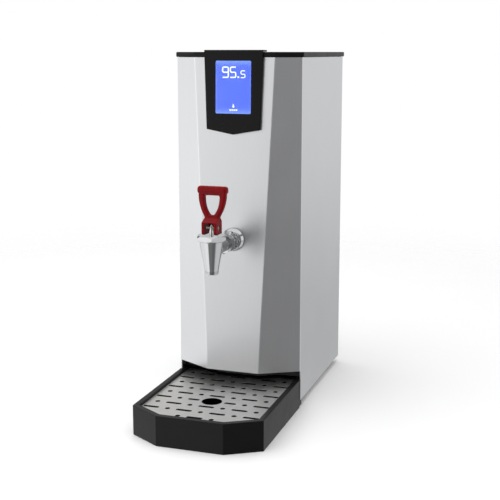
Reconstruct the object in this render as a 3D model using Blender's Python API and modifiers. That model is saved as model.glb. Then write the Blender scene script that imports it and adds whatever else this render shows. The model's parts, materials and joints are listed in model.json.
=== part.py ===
"""Counter-top water boiler: faceted steel casing, lever tap, display and lift-out drip tray.

Metres, +Z up, and the front faces -Y. Pieces are drawn with Y measured back from the foot of the
front panel, and one empty then carries them all so that the origin is in the middle of the plan.
"""
import math

import bmesh
import bpy
from mathutils import Vector

mm = 0.001
degree = math.radians(1)

# Clearances that several pieces share
seat_gap = 0.3 * mm
slide_gap = 1.0 * mm
overrun = 4 * mm
flat_angle = 0.02 * degree
large_steps = 20
tap_steps = 24
small_steps = 8
dot_steps = 6
tube_sides = 8

# Casing, folded from one sheet, and its back panel
casing_width = 210 * mm
casing_depth = 300 * mm
casing_top = 567 * mm
sheet = 1.2 * mm
fold_radius = 1.6 * mm
corner_setback = 34 * mm
facet_foot_width = 88 * mm
facet_top_width = 134 * mm
panel_foot = 62 * mm
return_width = 14 * mm
back_panel_margin = 0.8 * mm
louvre_length = 34 * mm
louvre_height = 4 * mm
louvre_pitch = 13 * mm
louvre_side = 32 * mm
louvre_top_margin = 70 * mm
louvre_rows = 8
screw_inset = 7.5 * mm
screw_end_margin = 30 * mm
screw_rows = 3
screw_radius = 1.8 * mm

# Lid
lid_thickness = 8 * mm
lid_overhang = 1.8 * mm
lid_skin = 2.6 * mm
lid_edge_radius = 1.6 * mm
skirt_depth = 8 * mm
skirt_wall = 2.2 * mm

# Base, plinth and feet
foot_height = 12 * mm
foot_top_radius = 13 * mm
foot_radius = 11 * mm
foot_recess_radius = 6 * mm
foot_recess_depth = 5 * mm
foot_screw_radius = 2.6 * mm
foot_screw_head = 5 * mm
foot_screw_head_height = 3 * mm
foot_nut_radius = 5 * mm
foot_nut_height = 4 * mm
foot_side_inset = 30 * mm
foot_end_inset = 30 * mm
base_sheet = 1.5 * mm
base_flange = 18 * mm
plinth_recess = 35 * mm
plinth_shoulder_step = 16 * mm
plinth_shoulder_slope = 2 * degree
plinth_wall = 2.5 * mm
soffit_rise = 1.0 * mm

# Drip tray and its grid
tray_side_inset = 0.5 * mm
tray_front_width = 106 * mm
tray_reach = 191 * mm
tray_corner_step = 31.5 * mm
tray_height = 47 * mm
tray_edge_radius = 2.2 * mm
tray_wall = 3 * mm
tray_rear_wall = 2.5 * mm
tray_floor = 2.5 * mm
tray_floor_rise = 1.5 * mm
rim_width = 8.7 * mm
ledge_width = 3.5 * mm
basin_wall = 2.5 * mm
grid_drop = 4 * mm
grid_sheet = 1.2 * mm
grid_play = 0.5 * mm
hole_column_pitch = 26.7 * mm
hole_row_pitch = 24.5 * mm
grid_slot_length = 25.5 * mm
grid_slot_width = 4.4 * mm
grid_dot_radius = 3.2 * mm
grid_edge_web = 2.2 * mm
drain_radius = 15.8 * mm
drain_web = 4.5 * mm
drain_reach = 96 * mm
grid_lift = 14.5 * mm

# Display
bezel_top_width = 97.4 * mm
bezel_shoulder_width = 88.6 * mm
bezel_shoulder = 455 * mm
bezel_tip = 447 * mm
bezel_proud = 5.5 * mm
bezel_skin = 2.2 * mm
bezel_wall = 2.0 * mm
bezel_edge_radius = 0.9 * mm
cap_thickness = 2.7 * mm
cap_edge_radius = 0.4 * mm
cap_hook = 16 * mm
window_width = 59 * mm
window_height = 82 * mm
window_foot = 479.7 * mm
window_corner = 2 * mm
lens_recess = 0.4 * mm
lcd_margin = 3 * mm
lcd_thickness = 1.8 * mm
lcd_frame_margin = 2 * mm
lcd_frame_depth = 7 * mm
lcd_frame_wall = 2.5 * mm
lcd_tray_depth = 4 * mm
display_opening_play = 2 * mm
display_board_margin = 9 * mm
board_thickness = 1.6 * mm
display_chip_size = 14 * mm
display_chip_height = 2 * mm
post_radius = 3 * mm
post_inset = 4.5 * mm
post_tip_length = 3 * mm

# Tap
tap_height = 280 * mm
tap_reach = 93 * mm
flange_radius = 19 * mm
flange_rim = 3.5 * mm
flange_shoulder = 5.3 * mm
flange_depth = 9.5 * mm
dome_radius = 14.2 * mm
dome_share = 0.93
lock_nut_radius = 15 * mm
lock_nut_depth = 8 * mm
lock_nut_notches = 10
lock_nut_notch_width = 3.2 * mm
lock_nut_notch_depth = 1.6 * mm
collar_flats = 25 * mm
collar_depth = 9 * mm
thread_radius = 10.2 * mm
tail_bore_radius = 6 * mm
neck_radius = 10.8 * mm
neck_depth = 8 * mm
tail_root_radius = 13 * mm
washer_depth = 2.5 * mm
washer_radius = 16 * mm
back_nut_flats = 30 * mm
back_nut_depth = 6 * mm
cone_rise = 15 * mm
cone_top_radius = 18.4 * mm
cone_foot_radius = 10.4 * mm
spout_drop = 36.3 * mm
spout_straight = 6 * mm
cone_lip = 1.2 * mm
mouth_radius = 7.4 * mm
outlet_radius = 5.8 * mm
seat_drop = 16 * mm
chamber_rise = 10 * mm
chamber_radius = 13.4 * mm
chamber_foot_radius = 9.4 * mm
bonnet_flats = 43 * mm
bonnet_thickness = 9 * mm
bonnet_chamfer = 3.2 * mm
bonnet_chamfer_depth = 2.1 * mm
bonnet_turn = 22 * degree
bonnet_plug_depth = 4.5 * mm
seal_cup_radius = 7.8 * mm
seal_cup_height = 4 * mm
seal_cup_chamfer = 1.3 * mm
stem_radius = 3.2 * mm
stem_neck_rise = 5 * mm
stem_collar_radius = 7.4 * mm
stem_collar_height = 1.8 * mm
stem_tip_radius = 0.9 * mm
stem_tip_rise = 5 * mm
stem_shoulder_radius = 2.8 * mm
spring_wire = 0.9 * mm
spring_radius = 5.6 * mm
spring_turns = 4.5
spring_steps_per_turn = 10
spring_sides = 6
pin_radius = 1.5 * mm
pin_head_radius = 4.1 * mm
pin_head_depth = 1.9 * mm

# Tap handle: its foot is a cam that lifts the stem by cam_lift for each radian of tilt
cam_radius = 10 * mm
cam_lift = 4.5 * mm
handle_travel = 35 * degree
handle_block_width = 24 * mm
handle_front = 11.6 * mm
handle_back = 14.2 * mm
handle_shoulder = 9.5 * mm
handle_neck_rise = 14.5 * mm
handle_neck_depth = 11 * mm
handle_edge_radius = 1.1 * mm
fork_width = 15.6 * mm
fork_back = 8.8 * mm
fork_rise = 9 * mm
fork_edge_radius = 2.2 * mm
handle_setback = 4 * mm
handle_lean = 3 * degree
handle_top = 62.8 * mm
handle_width = 46.5 * mm
handle_bar = 12.3 * mm
handle_bar_depth = 13 * mm
handle_bar_radius = 5.6 * mm
handle_loop_depth = 10 * mm
handle_loop_radius = 2.2 * mm
handle_waist_width = 22.6 * mm
handle_hole_width = 26 * mm
handle_hole_foot = 18.6 * mm
handle_hole_top = 49.4 * mm
# Half-widths of the loop's outside and of its hole, from foot to top, as shares of the widest
loop_rise_shares = (0.0, 0.12, 0.19, 0.3, 0.435, 0.605, 0.775, 1.0)
loop_spread_shares = (0.0, 0.02, 0.12, 0.39, 0.63, 0.845, 0.96, 1.0)
loop_top_share = 0.895
hole_rise_shares = (0.03, 0.12, 0.27, 0.46, 0.7, 0.9, 0.985, 1.0)
hole_width_shares = (0.2, 0.44, 0.66, 0.84, 0.96, 1.0, 0.94, 0.8)

# Tank, its insulation and its stand
side_air_gap = 9 * mm
front_bay = 36 * mm
service_bay = 73 * mm
head_space = 127 * mm
tank_wall = 1.5 * mm
jacket_thickness = 13 * mm
tank_flange_width = 11 * mm
tank_flange_thickness = 3 * mm
tank_lid_thickness = 3 * mm
tank_seal_thickness = 2 * mm
tank_seal_width = 3.2 * mm
jacket_top_gap = 9 * mm
boss_radius = 14 * mm
boss_length = 17 * mm
boss_weld_depth = 4 * mm
boss_play = 0.4 * mm
tail_insertion = 9 * mm
spigot_radius = 5.4 * mm
spigot_bore_radius = 3.8 * mm
spigot_length = 20 * mm
spigot_back_share = 0.35
lid_studs = 8
lid_stud_radius = 1.9 * mm
lid_stud_rise = 8 * mm
lid_stud_inset = 4.6 * mm
stand_height = 82 * mm
stand_width_share = 1.0
stand_depth_share = 1.2
stand_sheet = 1.5 * mm
stand_foot = 14 * mm
stand_fold_radius = 2.5 * mm

# Fittings on the tank's lid, placed by shares of the tank's radius
element_side_share, element_back_share = 0.0, -0.36
probe_side_share, probe_back_share = 0.48, 0.0
level_side_share, level_back_share = -0.5, 0.12
cutout_side_share, cutout_back_share = 0.62, -0.5
vent_side_share, vent_back_share = 0.3, 0.56
element_flats = 46 * mm
element_head_height = 8 * mm
element_thread_radius = 19 * mm
element_stub = 14 * mm
element_tube_radius = 4.2 * mm
element_bend = 11 * mm
element_bend_share = 0.9
element_spacing = 8 * mm
element_foot_gap = 34 * mm
element_terminal_radius = 2.2 * mm
element_terminal_height = 16 * mm
probe_flats = 15 * mm
probe_head_height = 7 * mm
probe_neck_height = 10.5 * mm
probe_radius = 3 * mm
probe_length = 120 * mm
level_holder_radius = 17 * mm
level_holder_height = 9 * mm
level_holder_neck = 13 * mm
level_rod_radius = 1.5 * mm
level_rod_spacing = 8 * mm
level_rod_top = 8 * mm
level_rod_lengths = (250 * mm, 110 * mm, 60 * mm)
cutout_radius = 8.5 * mm
cutout_height = 7 * mm
cutout_flange = 1.5 * mm
cutout_flange_radius = 12 * mm
cutout_blade = 6 * mm

# Water inlet, overflow and mains entry, low on the back panel
port_height = 60 * mm
inlet_margin = 53 * mm
inlet_thread_radius = 13.1 * mm
inlet_thread_chamfer = 1.2 * mm
inlet_reach = 16 * mm
inlet_bore_radius = 9 * mm
inlet_bore_depth = 12 * mm
inlet_flange_radius = 18 * mm
inlet_flange_depth = 3.5 * mm
inlet_nut_flats = 36 * mm
inlet_nut_depth = 6 * mm
valve_body_radius = 12.5 * mm
valve_body_depth = 34 * mm
valve_spigot_depth = 18 * mm
coil_radius = 13 * mm
coil_height = 26 * mm
coil_core_radius = 4.5 * mm
coil_core_rise = 5 * mm
hose_wall = 2.5 * mm
hose_bend = 16 * mm
hose_seat = 4 * mm
overflow_margin = 35 * mm
overflow_radius = 6 * mm
overflow_bore_radius = 4.6 * mm
overflow_reach = 14 * mm
overflow_rise = 32 * mm
overflow_bend = 16 * mm
overflow_drop_depth = 38 * mm
overflow_flange_radius = 11 * mm
overflow_flange_depth = 3 * mm
gland_side = 4 * mm
gland_flats = 24 * mm
gland_hex_depth = 8 * mm
gland_reach = 21 * mm
gland_nose_radius = 8 * mm
gland_bore_radius = 4.2 * mm
gland_thread_radius = 9.6 * mm
gland_inner_depth = 14 * mm
gland_nut_depth = 5 * mm
terminal_length = 44 * mm
terminal_depth = 20 * mm
terminal_height = 14 * mm
terminal_post_radius = 4.5 * mm
terminal_post_height = 6 * mm
terminal_posts = 3

# Mains switch on the back panel
switch_height = 112 * mm
switch_width = 27 * mm
switch_tall = 21 * mm
switch_depth = 19 * mm
switch_lip = 3 * mm
switch_proud = 2 * mm
switch_wall = 2 * mm
switch_edge_radius = 0.6 * mm
rocker_play = 0.5 * mm
rocker_tilt = 8 * degree
rocker_rise = 3.6 * mm
rocker_skirt = 6 * mm
rocker_pivot_depth = 3 * mm
rocker_edge_radius = 0.5 * mm
rocker_crown_share = 0.6
rocker_foot_share = 0.9

# Relay board and its bracket
bracket_width = 122 * mm
bracket_height = 170 * mm
bracket_foot = 330 * mm
bracket_depth = 27 * mm
bracket_sheet = 1.2 * mm
bracket_fold_radius = 2.0 * mm
relay_board_margin = 7 * mm
relay_post_height = 8 * mm
relay_size = (28 * mm, 12 * mm, 16 * mm)
transformer_size = (34 * mm, 22 * mm, 30 * mm)
connector_size = (40 * mm, 9 * mm, 8 * mm)
relay_place_shares = (-0.28, 0.3)
transformer_place_shares = (0.24, 0.24)
connector_place_shares = (0.0, -0.38)

# Values worked out from the sizes above
half = casing_width / 2
facet_foot_half = facet_foot_width / 2
facet_top_half = facet_top_width / 2
inner_half = half - sheet
chamfer_angle = math.atan2(corner_setback, half - facet_foot_half)
casing_foot = foot_height + seat_gap
base_floor_top = casing_foot + base_sheet
lid_foot = casing_top + seat_gap
lid_top = lid_foot + lid_thickness
back_face = casing_depth + seat_gap + sheet
flange_inner_y = casing_depth - sheet
inlet_side = inlet_margin - half
overflow_side = half - overflow_margin
rear_reach = max(inlet_reach, overflow_reach, gland_reach)
plan_middle = (back_face + rear_reach - tray_reach) / 2


def facet_half(height):
    """Half-width of the front facet, which widens steadily from the panel's foot to its top."""
    share = (height - panel_foot) / (casing_top - panel_foot)
    return facet_foot_half + (facet_top_half - facet_foot_half) * share


def face_setback(height):
    """How far the front facet lies behind its own foot, at a height."""
    return math.tan(chamfer_angle) * (facet_half(height) - facet_foot_half)


face_lean = math.atan2(face_setback(casing_top), casing_top - panel_foot)
tap_face = face_setback(tap_height)
jacket_radius = min(inner_half - side_air_gap, (casing_depth - service_bay - front_bay) / 2)
tank_radius = jacket_radius - jacket_thickness - seat_gap
tank_y = casing_depth - service_bay - jacket_radius
tank_foot = base_floor_top + seat_gap + stand_height + seat_gap
tank_top = casing_top - head_space
boss_front = tank_y - tank_radius - boss_length
tail_end = boss_front + tail_insertion
tank_lid_foot = tank_top + seat_gap + tank_seal_thickness + seat_gap
tank_lid_top = tank_lid_foot + tank_lid_thickness
cone_top = tap_height + cone_rise
bonnet_foot = cone_top + seat_gap
bonnet_top = bonnet_foot + bonnet_thickness
pin_height = bonnet_top + seat_gap + cam_radius
valve_seat = tap_height - seat_drop
grid_top = tray_height - grid_drop
display_frame_front = bezel_proud - bezel_skin - lcd_thickness - 2 * seat_gap
display_frame_back = display_frame_front - lcd_frame_depth
display_board_front = display_frame_back - seat_gap
display_board_back = display_board_front - board_thickness
ledge_height = grid_top - grid_sheet - seat_gap

FORWARD = (math.pi / 2, 0, 0)
BACKWARD = (-math.pi / 2, 0, 0)
SIDEWAYS = (0, math.pi / 2, 0)


# Scene, collections and the empty that carries the boiler

for old in list(bpy.data.objects):
    bpy.data.objects.remove(old)
parts = bpy.data.collections.new("water_boiler")
cutters = bpy.data.collections.new("cutters")
bpy.context.scene.collection.children.link(parts)
bpy.context.scene.collection.children.link(cutters)


def empty(name, at, turn=(0, 0, 0), parent=None):
    """An empty that carries other objects."""
    carrier = bpy.data.objects.new(name, None)
    parts.objects.link(carrier)
    carrier.parent = parent
    carrier.location, carrier.rotation_euler = at, turn
    return carrier


boiler = empty("boiler_origin", (0, -plan_middle, 0))
front_plane = empty("front_plane", (0, 0, panel_foot), (-face_lean, 0, 0), boiler)
handle_pivot = empty("handle_pivot", (0, -tap_reach, pin_height), parent=boiler)
rocker_pivot_y = back_face + seat_gap + switch_proud - rocker_pivot_depth
rocker_pivot = empty("rocker_pivot", (gland_side, rocker_pivot_y, switch_height), (rocker_tilt, 0, 0),
                     boiler)


def up_the_face(height):
    """Distance up the leaning front facet, from its foot, of a height above the counter."""
    return (height - panel_foot) / math.cos(face_lean)


frame_margin = lcd_margin + lcd_frame_margin
display_board_half = window_width / 2 + frame_margin + display_board_margin
display_board_top = up_the_face(window_foot) + window_height + frame_margin
display_board_foot = up_the_face(window_foot) - frame_margin - display_board_margin


def make_material(name, color, metallic, roughness, transmission=0):
    """A Principled BSDF with the piece's colour and finish."""
    material = bpy.data.materials.new(name)
    material.use_nodes = True
    shader = material.node_tree.nodes["Principled BSDF"]
    shader.inputs["Base Color"].default_value = (*color, 1)
    shader.inputs["Metallic"].default_value = metallic
    shader.inputs["Roughness"].default_value = roughness
    shader.inputs["Transmission Weight"].default_value = transmission
    return material


satin_steel = make_material("satin_steel", (0.62, 0.62, 0.63), 1.0, 0.34)
plain_steel = make_material("plain_steel", (0.50, 0.50, 0.50), 1.0, 0.42)
zinc_steel = make_material("zinc_plated_steel", (0.56, 0.56, 0.54), 1.0, 0.38)
chrome = make_material("chrome", (0.80, 0.80, 0.81), 1.0, 0.08)
brass = make_material("brass", (0.72, 0.55, 0.27), 1.0, 0.30)
black_plastic = make_material("black_plastic", (0.020, 0.020, 0.021), 0.0, 0.42)
tray_plastic = make_material("tray_plastic", (0.026, 0.026, 0.027), 0.0, 0.36)
bezel_plastic = make_material("bezel_plastic", (0.012, 0.012, 0.013), 0.0, 0.24)
red_plastic = make_material("red_plastic", (0.30, 0.006, 0.010), 0.0, 0.20)
white_plastic = make_material("white_plastic", (0.72, 0.72, 0.70), 0.0, 0.45)
grey_plastic = make_material("grey_plastic", (0.22, 0.23, 0.24), 0.0, 0.5)
black_rubber = make_material("black_rubber", (0.025, 0.025, 0.025), 0.0, 0.85)
silicone = make_material("silicone", (0.70, 0.66, 0.60), 0.0, 0.60)
lens_acrylic = make_material("lens_acrylic", (0.75, 0.82, 1.0), 0.0, 0.06, 0.9)
lcd_blue = make_material("lcd_blue", (0.10, 0.20, 0.95), 0.0, 0.3)
board_green = make_material("board_green", (0.03, 0.16, 0.07), 0.0, 0.45)
foam = make_material("insulation_foam", (0.14, 0.14, 0.15), 0.0, 0.95)


def add(name, data, material, at=(0, 0, 0), turn=(0, 0, 0), parent=None):
    """Puts a mesh or curve in the scene; without a material it is only a cutter or a blank."""
    piece = bpy.data.objects.new(name, data)
    piece.parent = parent or boiler
    piece.location, piece.rotation_euler = at, turn
    if material:
        parts.objects.link(piece)
        data.materials.append(material)
    else:
        cutters.objects.link(piece)
        piece.hide_render = True
        piece.display_type = "WIRE"
    return piece


def shade(piece, angle=30 * degree):
    """Shades round stretches smooth and keeps the edges sharp."""
    piece.data.shade_smooth()
    piece.data.set_sharp_from_angle(angle=angle)
    return piece


def mesh_of_curve(name, curve):
    """Turns a curve into a closed mesh, with its caps welded on and flat faces merged."""
    holder = bpy.data.objects.new(name, curve)
    cutters.objects.link(holder)
    graph = bpy.context.evaluated_depsgraph_get()
    mesh = bpy.data.meshes.new_from_object(holder.evaluated_get(graph))
    bpy.data.objects.remove(holder)
    bpy.data.curves.remove(curve)
    work = bmesh.new()
    work.from_mesh(mesh)
    bmesh.ops.remove_doubles(work, verts=work.verts, dist=seat_gap / 10)
    bmesh.ops.dissolve_limit(work, angle_limit=flat_angle, verts=work.verts, edges=work.edges)
    work.to_mesh(mesh)
    work.free()
    mesh.name = name
    return mesh


def plate(name, outlines, low, high, material=None, at=(0, 0, 0), turn=(0, 0, 0), parent=None):
    """A flat plate between two local heights; every outline after the first is a hole."""
    curve = bpy.data.curves.new(name, "CURVE")
    curve.dimensions, curve.fill_mode, curve.extrude = "2D", "BOTH", (high - low) / 2
    for outline in outlines:
        spline = curve.splines.new("POLY")
        spline.points.add(len(outline) - 1)
        for point, (x, y) in zip(spline.points, outline):
            point.co = (x, y, 0, 1)
        spline.use_cyclic_u = True
    mesh = mesh_of_curve(name, curve)
    for vertex in mesh.vertices:
        vertex.co.z += (high + low) / 2
    return shade(add(name, mesh, material, at, turn, parent))


def wall_plate(name, outlines, front, rear, material=None):
    """A plate that stands across the boiler, drawn in X and Z, between two depths."""
    return plate(name, outlines, -rear, -front, material, turn=FORWARD)


def turned(name, profile, material=None, at=(0, 0, 0), turn=(0, 0, 0), parent=None, steps=16):
    """A turned shape. The profile gives radius and height down the outside; off the axis, it closes."""
    mesh = bpy.data.meshes.new(name)
    count = len(profile)
    ring = all(radius > 0 for radius, height in profile)
    edges = [(i, i + 1) for i in range(count - 1)] + ([(count - 1, 0)] if ring else [])
    mesh.from_pydata([(radius, 0, height) for radius, height in profile], edges, [])
    piece = add(name, mesh, material, at, turn, parent)
    screw = piece.modifiers.new("turn", "SCREW")
    screw.steps = screw.render_steps = steps
    screw.use_merge_vertices = True
    screw.merge_threshold = seat_gap / 10
    screw.use_smooth_shade = False
    return piece


def box(name, low, high, material=None, at=(0, 0, 0), turn=(0, 0, 0), parent=None):
    """A block between two corners."""
    low, high = Vector(low), Vector(high)
    work = bmesh.new()
    bmesh.ops.create_cube(work, size=1)
    for vertex in work.verts:
        vertex.co = (low + high) / 2 + Vector(a * b for a, b in zip(vertex.co, high - low))
    mesh = bpy.data.meshes.new(name)
    work.to_mesh(mesh)
    work.free()
    return add(name, mesh, material, at, turn, parent)


def rod(name, radius, low, high, material=None, at=(0, 0, 0), turn=(0, 0, 0), parent=None, sides=16):
    """A round bar along its own Z; six sides make a hexagon with that radius at its corners."""
    work = bmesh.new()
    bmesh.ops.create_cone(work, cap_ends=True, segments=sides, radius1=radius, radius2=radius,
                          depth=high - low)
    for vertex in work.verts:
        vertex.co.z += (high + low) / 2
    mesh = bpy.data.meshes.new(name)
    work.to_mesh(mesh)
    work.free()
    return shade(add(name, mesh, material, at, turn, parent))


def hexagon(name, flats, low, high, material=None, at=(0, 0, 0), turn=(0, 0, 0), parent=None):
    """A hexagonal bar, given by its size across flats."""
    return rod(name, flats / math.sqrt(3), low, high, material, at, turn, parent, sides=6)


def combine(piece, operation, tools):
    for tool in tools:
        boolean = piece.modifiers.new(tool.name, "BOOLEAN")
        boolean.operation, boolean.solver, boolean.object = operation, "EXACT", tool
    return piece


def cut(piece, *tools):
    """Takes the tools out of the piece."""
    return combine(piece, "DIFFERENCE", tools)


def join(piece, *tools):
    """Joins the tools to the piece as one solid."""
    return combine(piece, "UNION", tools)


def bevel(piece, width, segments=2, angle=35 * degree):
    """Rounds the edges that turn by more than an angle."""
    rounding = piece.modifiers.new("edges", "BEVEL")
    rounding.width, rounding.segments = width, segments
    rounding.limit_method, rounding.angle_limit = "ANGLE", angle
    return piece


def fillet(before, corner, after, radius, steps):
    """Points of the arc that rounds one corner of a path."""
    back, ahead = (before - corner).normalized(), (after - corner).normalized()
    half_angle = back.angle(ahead) / 2
    centre = corner + (back + ahead).normalized() * (radius / math.sin(half_angle))
    reach = radius / math.tan(half_angle)
    start, end = corner + back * reach - centre, corner + ahead * reach - centre
    turn = math.pi - 2 * half_angle
    points = []
    for i in range(steps + 1):
        share = i / steps
        weight = math.sin(turn)
        points.append(centre + start * (math.sin((1 - share) * turn) / weight)
                      + end * (math.sin(share * turn) / weight))
    return points


def rounded(outline, radius, steps=4):
    """A closed outline with every corner rounded."""
    outline = [Vector(point) for point in outline]
    points = []
    for i, corner in enumerate(outline):
        points += fillet(outline[i - 1], corner, outline[(i + 1) % len(outline)], radius, steps)
    return points


def inset(outline, distance):
    """An outline, given anticlockwise, moved inwards by a distance along every side."""
    outline = [Vector(point) for point in outline]
    points = []
    for i, corner in enumerate(outline):
        along = (corner - outline[i - 1]).normalized()
        onward = (outline[(i + 1) % len(outline)] - corner).normalized()
        normal, next_normal = Vector((-along.y, along.x)), Vector((-onward.y, onward.x))
        points.append(corner + (normal + next_normal) * (distance / (1 + normal.dot(next_normal))))
    return points


def rectangle(width, low, high, side=0):
    return [(side - width / 2, low), (side + width / 2, low), (side + width / 2, high),
            (side - width / 2, high)]


def circle(x, y, radius, steps=16):
    return [(x + radius * math.cos(math.tau * i / steps), y + radius * math.sin(math.tau * i / steps))
            for i in range(steps)]


def slot(low_x, high_x, y, width, steps=2):
    """A slot along X with round ends."""
    radius = width / 2
    points = []
    for centre, start in ((high_x - radius, -math.pi / 2), (low_x + radius, math.pi / 2)):
        for i in range(steps + 1):
            angle = start + math.pi * i / steps
            points.append((centre + radius * math.cos(angle), y + radius * math.sin(angle)))
    return points


def tube_mesh(name, points, radius, sides=tube_sides):
    """A round tube along a path, with filled caps."""
    curve = bpy.data.curves.new(name, "CURVE")
    curve.dimensions, curve.bevel_depth, curve.bevel_resolution = "3D", radius, sides // 2 - 2
    curve.use_fill_caps = True
    spline = curve.splines.new("POLY")
    spline.points.add(len(points) - 1)
    for point, place in zip(spline.points, points):
        point.co = (*place, 1)
    return mesh_of_curve(name, curve)


def bent_path(corners, radius, steps=3):
    """A path with rounded bends between straight runs."""
    corners = [Vector(corner) for corner in corners]
    points = [corners[0]]
    for before, corner, after in zip(corners, corners[1:], corners[2:]):
        points += fillet(before, corner, after, radius, steps)
    return points + [corners[-1]]


def pipe(name, corners, bend, radius, bore, material):
    """A bent pipe, open at both ends."""
    points = bent_path(corners, bend)
    piece = add(name, tube_mesh(name, points, radius), material)
    start = points[0] + (points[0] - points[1]).normalized() * overrun
    end = points[-1] + (points[-1] - points[-2]).normalized() * overrun
    inside = tube_mesh(name + "_bore", [start, *points[1:-1], end], bore)
    return cut(shade(piece), add(name + "_bore", inside, None))


def folded_sheet(name, lower, upper, thickness, radius, material):
    """A sheet folded along the lines that join two rows of points; its outside is on their right."""
    work = bmesh.new()
    rows = [[work.verts.new(point) for point in row] for row in (lower, upper)]
    for i in range(len(lower) - 1):
        work.faces.new((rows[0][i], rows[0][i + 1], rows[1][i + 1], rows[1][i]))
    folds = [edge for edge in work.edges if len(edge.link_faces) == 2]
    bmesh.ops.bevel(work, geom=folds, offset=radius, offset_type="OFFSET", segments=3, profile=0.5,
                    affect="EDGES", clamp_overlap=False)
    mesh = bpy.data.meshes.new(name)
    work.to_mesh(mesh)
    work.free()
    piece = add(name, mesh, material)
    walls = piece.modifiers.new("thickness", "SOLIDIFY")
    walls.thickness, walls.offset, walls.use_even_offset = thickness, -1, True
    return shade(piece)


def mirrored(right):
    """Completes an outline or a row whose right-hand points run from the middle outwards."""
    return [(-x, *rest) for x, *rest in reversed(right)] + list(right)


# Plans that several pieces share

def casing_plan(height):
    """The casing's outside at a height, anticlockwise from the rear left corner."""
    return mirrored([(facet_half(height), face_setback(height)), (half, corner_setback),
                     (half, casing_depth)])


def recess_plan(distance, side):
    """The plinth's plan moved back by a distance, from side to side: shoulder, facet, shoulder."""
    front = plinth_recess + distance
    crease = facet_foot_half - front * math.tan(chamfer_angle / 2)
    shoulder = (crease + plinth_shoulder_step / math.tan(chamfer_angle), front + plinth_shoulder_step)
    end = (side, shoulder[1] + (side - shoulder[0]) * math.tan(plinth_shoulder_slope))
    return mirrored([(crease, front), shoulder, end])


tray_half = half - tray_side_inset
tray_arm_half = inner_half - slide_gap
tray_front_angle = math.atan2(tray_corner_step, tray_half - tray_front_width / 2)


def tray_front(distance):
    """The tray's front, moved inwards: left corner, two creases, right corner."""
    side = tray_half - distance
    front = -tray_reach + distance
    crease = tray_front_width / 2 - distance * math.tan(tray_front_angle / 2)
    return mirrored([(crease, front), (side, front + (side - crease) * math.tan(tray_front_angle))])


def tray_plan(distance, rear_distance):
    """A closed plan inside the tray, anticlockwise from the left front corner."""
    return tray_front(distance) + recess_plan(-slide_gap - rear_distance, tray_half - distance)[::-1]


def screw_places():
    """The places of the back panel's screws, in X and Z."""
    low, high = casing_foot + screw_end_margin, casing_top - screw_end_margin
    step = (high - low) / (screw_rows - 1)
    return [(side * (half - screw_inset), low + step * i) for side in (-1, 1) for i in range(screw_rows)]


# Casing, back panel, lid, base and plinth

def make_casing():
    lower, upper = [], []
    for height, row in ((casing_foot, lower), (casing_top, upper)):
        ends = [(-half + return_width, casing_depth), (half - return_width, casing_depth)]
        row += [(x, y, height) for x, y in [ends[0], *casing_plan(height), ends[1]]]
    casing = folded_sheet("outer_casing", lower, upper, sheet, fold_radius, satin_steel)
    notch = box("casing_notch", (-casing_width, -tray_reach, -overrun),
                (casing_width, corner_setback + fold_radius, panel_foot))
    tap_hole = rod("tap_hole", thread_radius + seat_gap, -casing_depth / 2, overrun,
                   at=(0, tap_face, tap_height), turn=FORWARD)
    opening = display_block("display_opening", display_opening_play, overrun, -overrun)
    holes = [rod(f"return_hole_{i}", screw_radius + seat_gap, -overrun, overrun, turn=FORWARD,
                 at=(x, casing_depth - sheet / 2, z), sides=small_steps)
             for i, (x, z) in enumerate(screw_places())]
    cut(casing, notch, tap_hole, opening, *holes)
    add_posts(casing, "display_post", display_post_places(), -sheet / 2, display_board_front,
              display_board_back, FORWARD, front_plane)


def display_block(name, margin, front, rear, material=None):
    """A block behind the window, by its margin past the display's frame and its depths."""
    reach = lcd_margin + lcd_frame_margin + margin
    foot = up_the_face(window_foot)
    return box(name, (-window_width / 2 - reach, -front, foot - reach),
               (window_width / 2 + reach, -rear, foot + window_height + reach), material,
               parent=front_plane)


def display_post_places():
    """The posts that carry the display's board, in X and along the front panel."""
    side = display_board_half - post_inset
    return [(x, z) for x in (-side, side) for z in (display_board_foot + post_inset,
                                                    display_board_top - post_inset)]


def add_posts(piece, name, places, root, near, far, turn, parent):
    """Joins stepped posts to a plate; their tips pass through a board with these near and far faces."""
    seat, tip = near + seat_gap, far - post_tip_length
    for i, (x, z) in enumerate(places):
        join(piece, turned(f"{name}_{i}", [(0, root), (post_radius, root), (post_radius, seat),
                                           (post_radius / 2, seat), (post_radius / 2, tip), (0, tip)],
                           at=(x, 0, z), turn=turn, parent=parent, steps=small_steps))


def make_back_panel():
    outlines = [rectangle(casing_width - 2 * back_panel_margin, casing_foot, casing_top)]
    outlines += [circle(x, z, screw_radius + seat_gap, small_steps) for x, z in screw_places()]
    outlines += [circle(inlet_side, port_height, inlet_thread_radius + seat_gap),
                 circle(overflow_side, port_height, overflow_radius + seat_gap),
                 circle(gland_side, port_height, gland_thread_radius + seat_gap),
                 rectangle(switch_width + 2 * seat_gap, switch_height - switch_tall / 2 - seat_gap,
                           switch_height + switch_tall / 2 + seat_gap, gland_side)]
    for side in (-1, 1):
        for row in range(louvre_rows):
            z = casing_top - louvre_top_margin - row * louvre_pitch
            middle = side * louvre_side
            outlines.append(slot(middle - louvre_length / 2, middle + louvre_length / 2, z, louvre_height))
    wall_plate("back_panel", outlines, casing_depth + seat_gap, back_face, satin_steel)


def lid_plan(distance):
    """The lid's outline on top of the casing, moved inwards; the rear also covers the back panel."""
    plan = [Vector(point) for point in casing_plan(casing_top)]
    plan[0].y = plan[-1].y = back_face
    return inset(plan, distance - lid_overhang)


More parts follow.
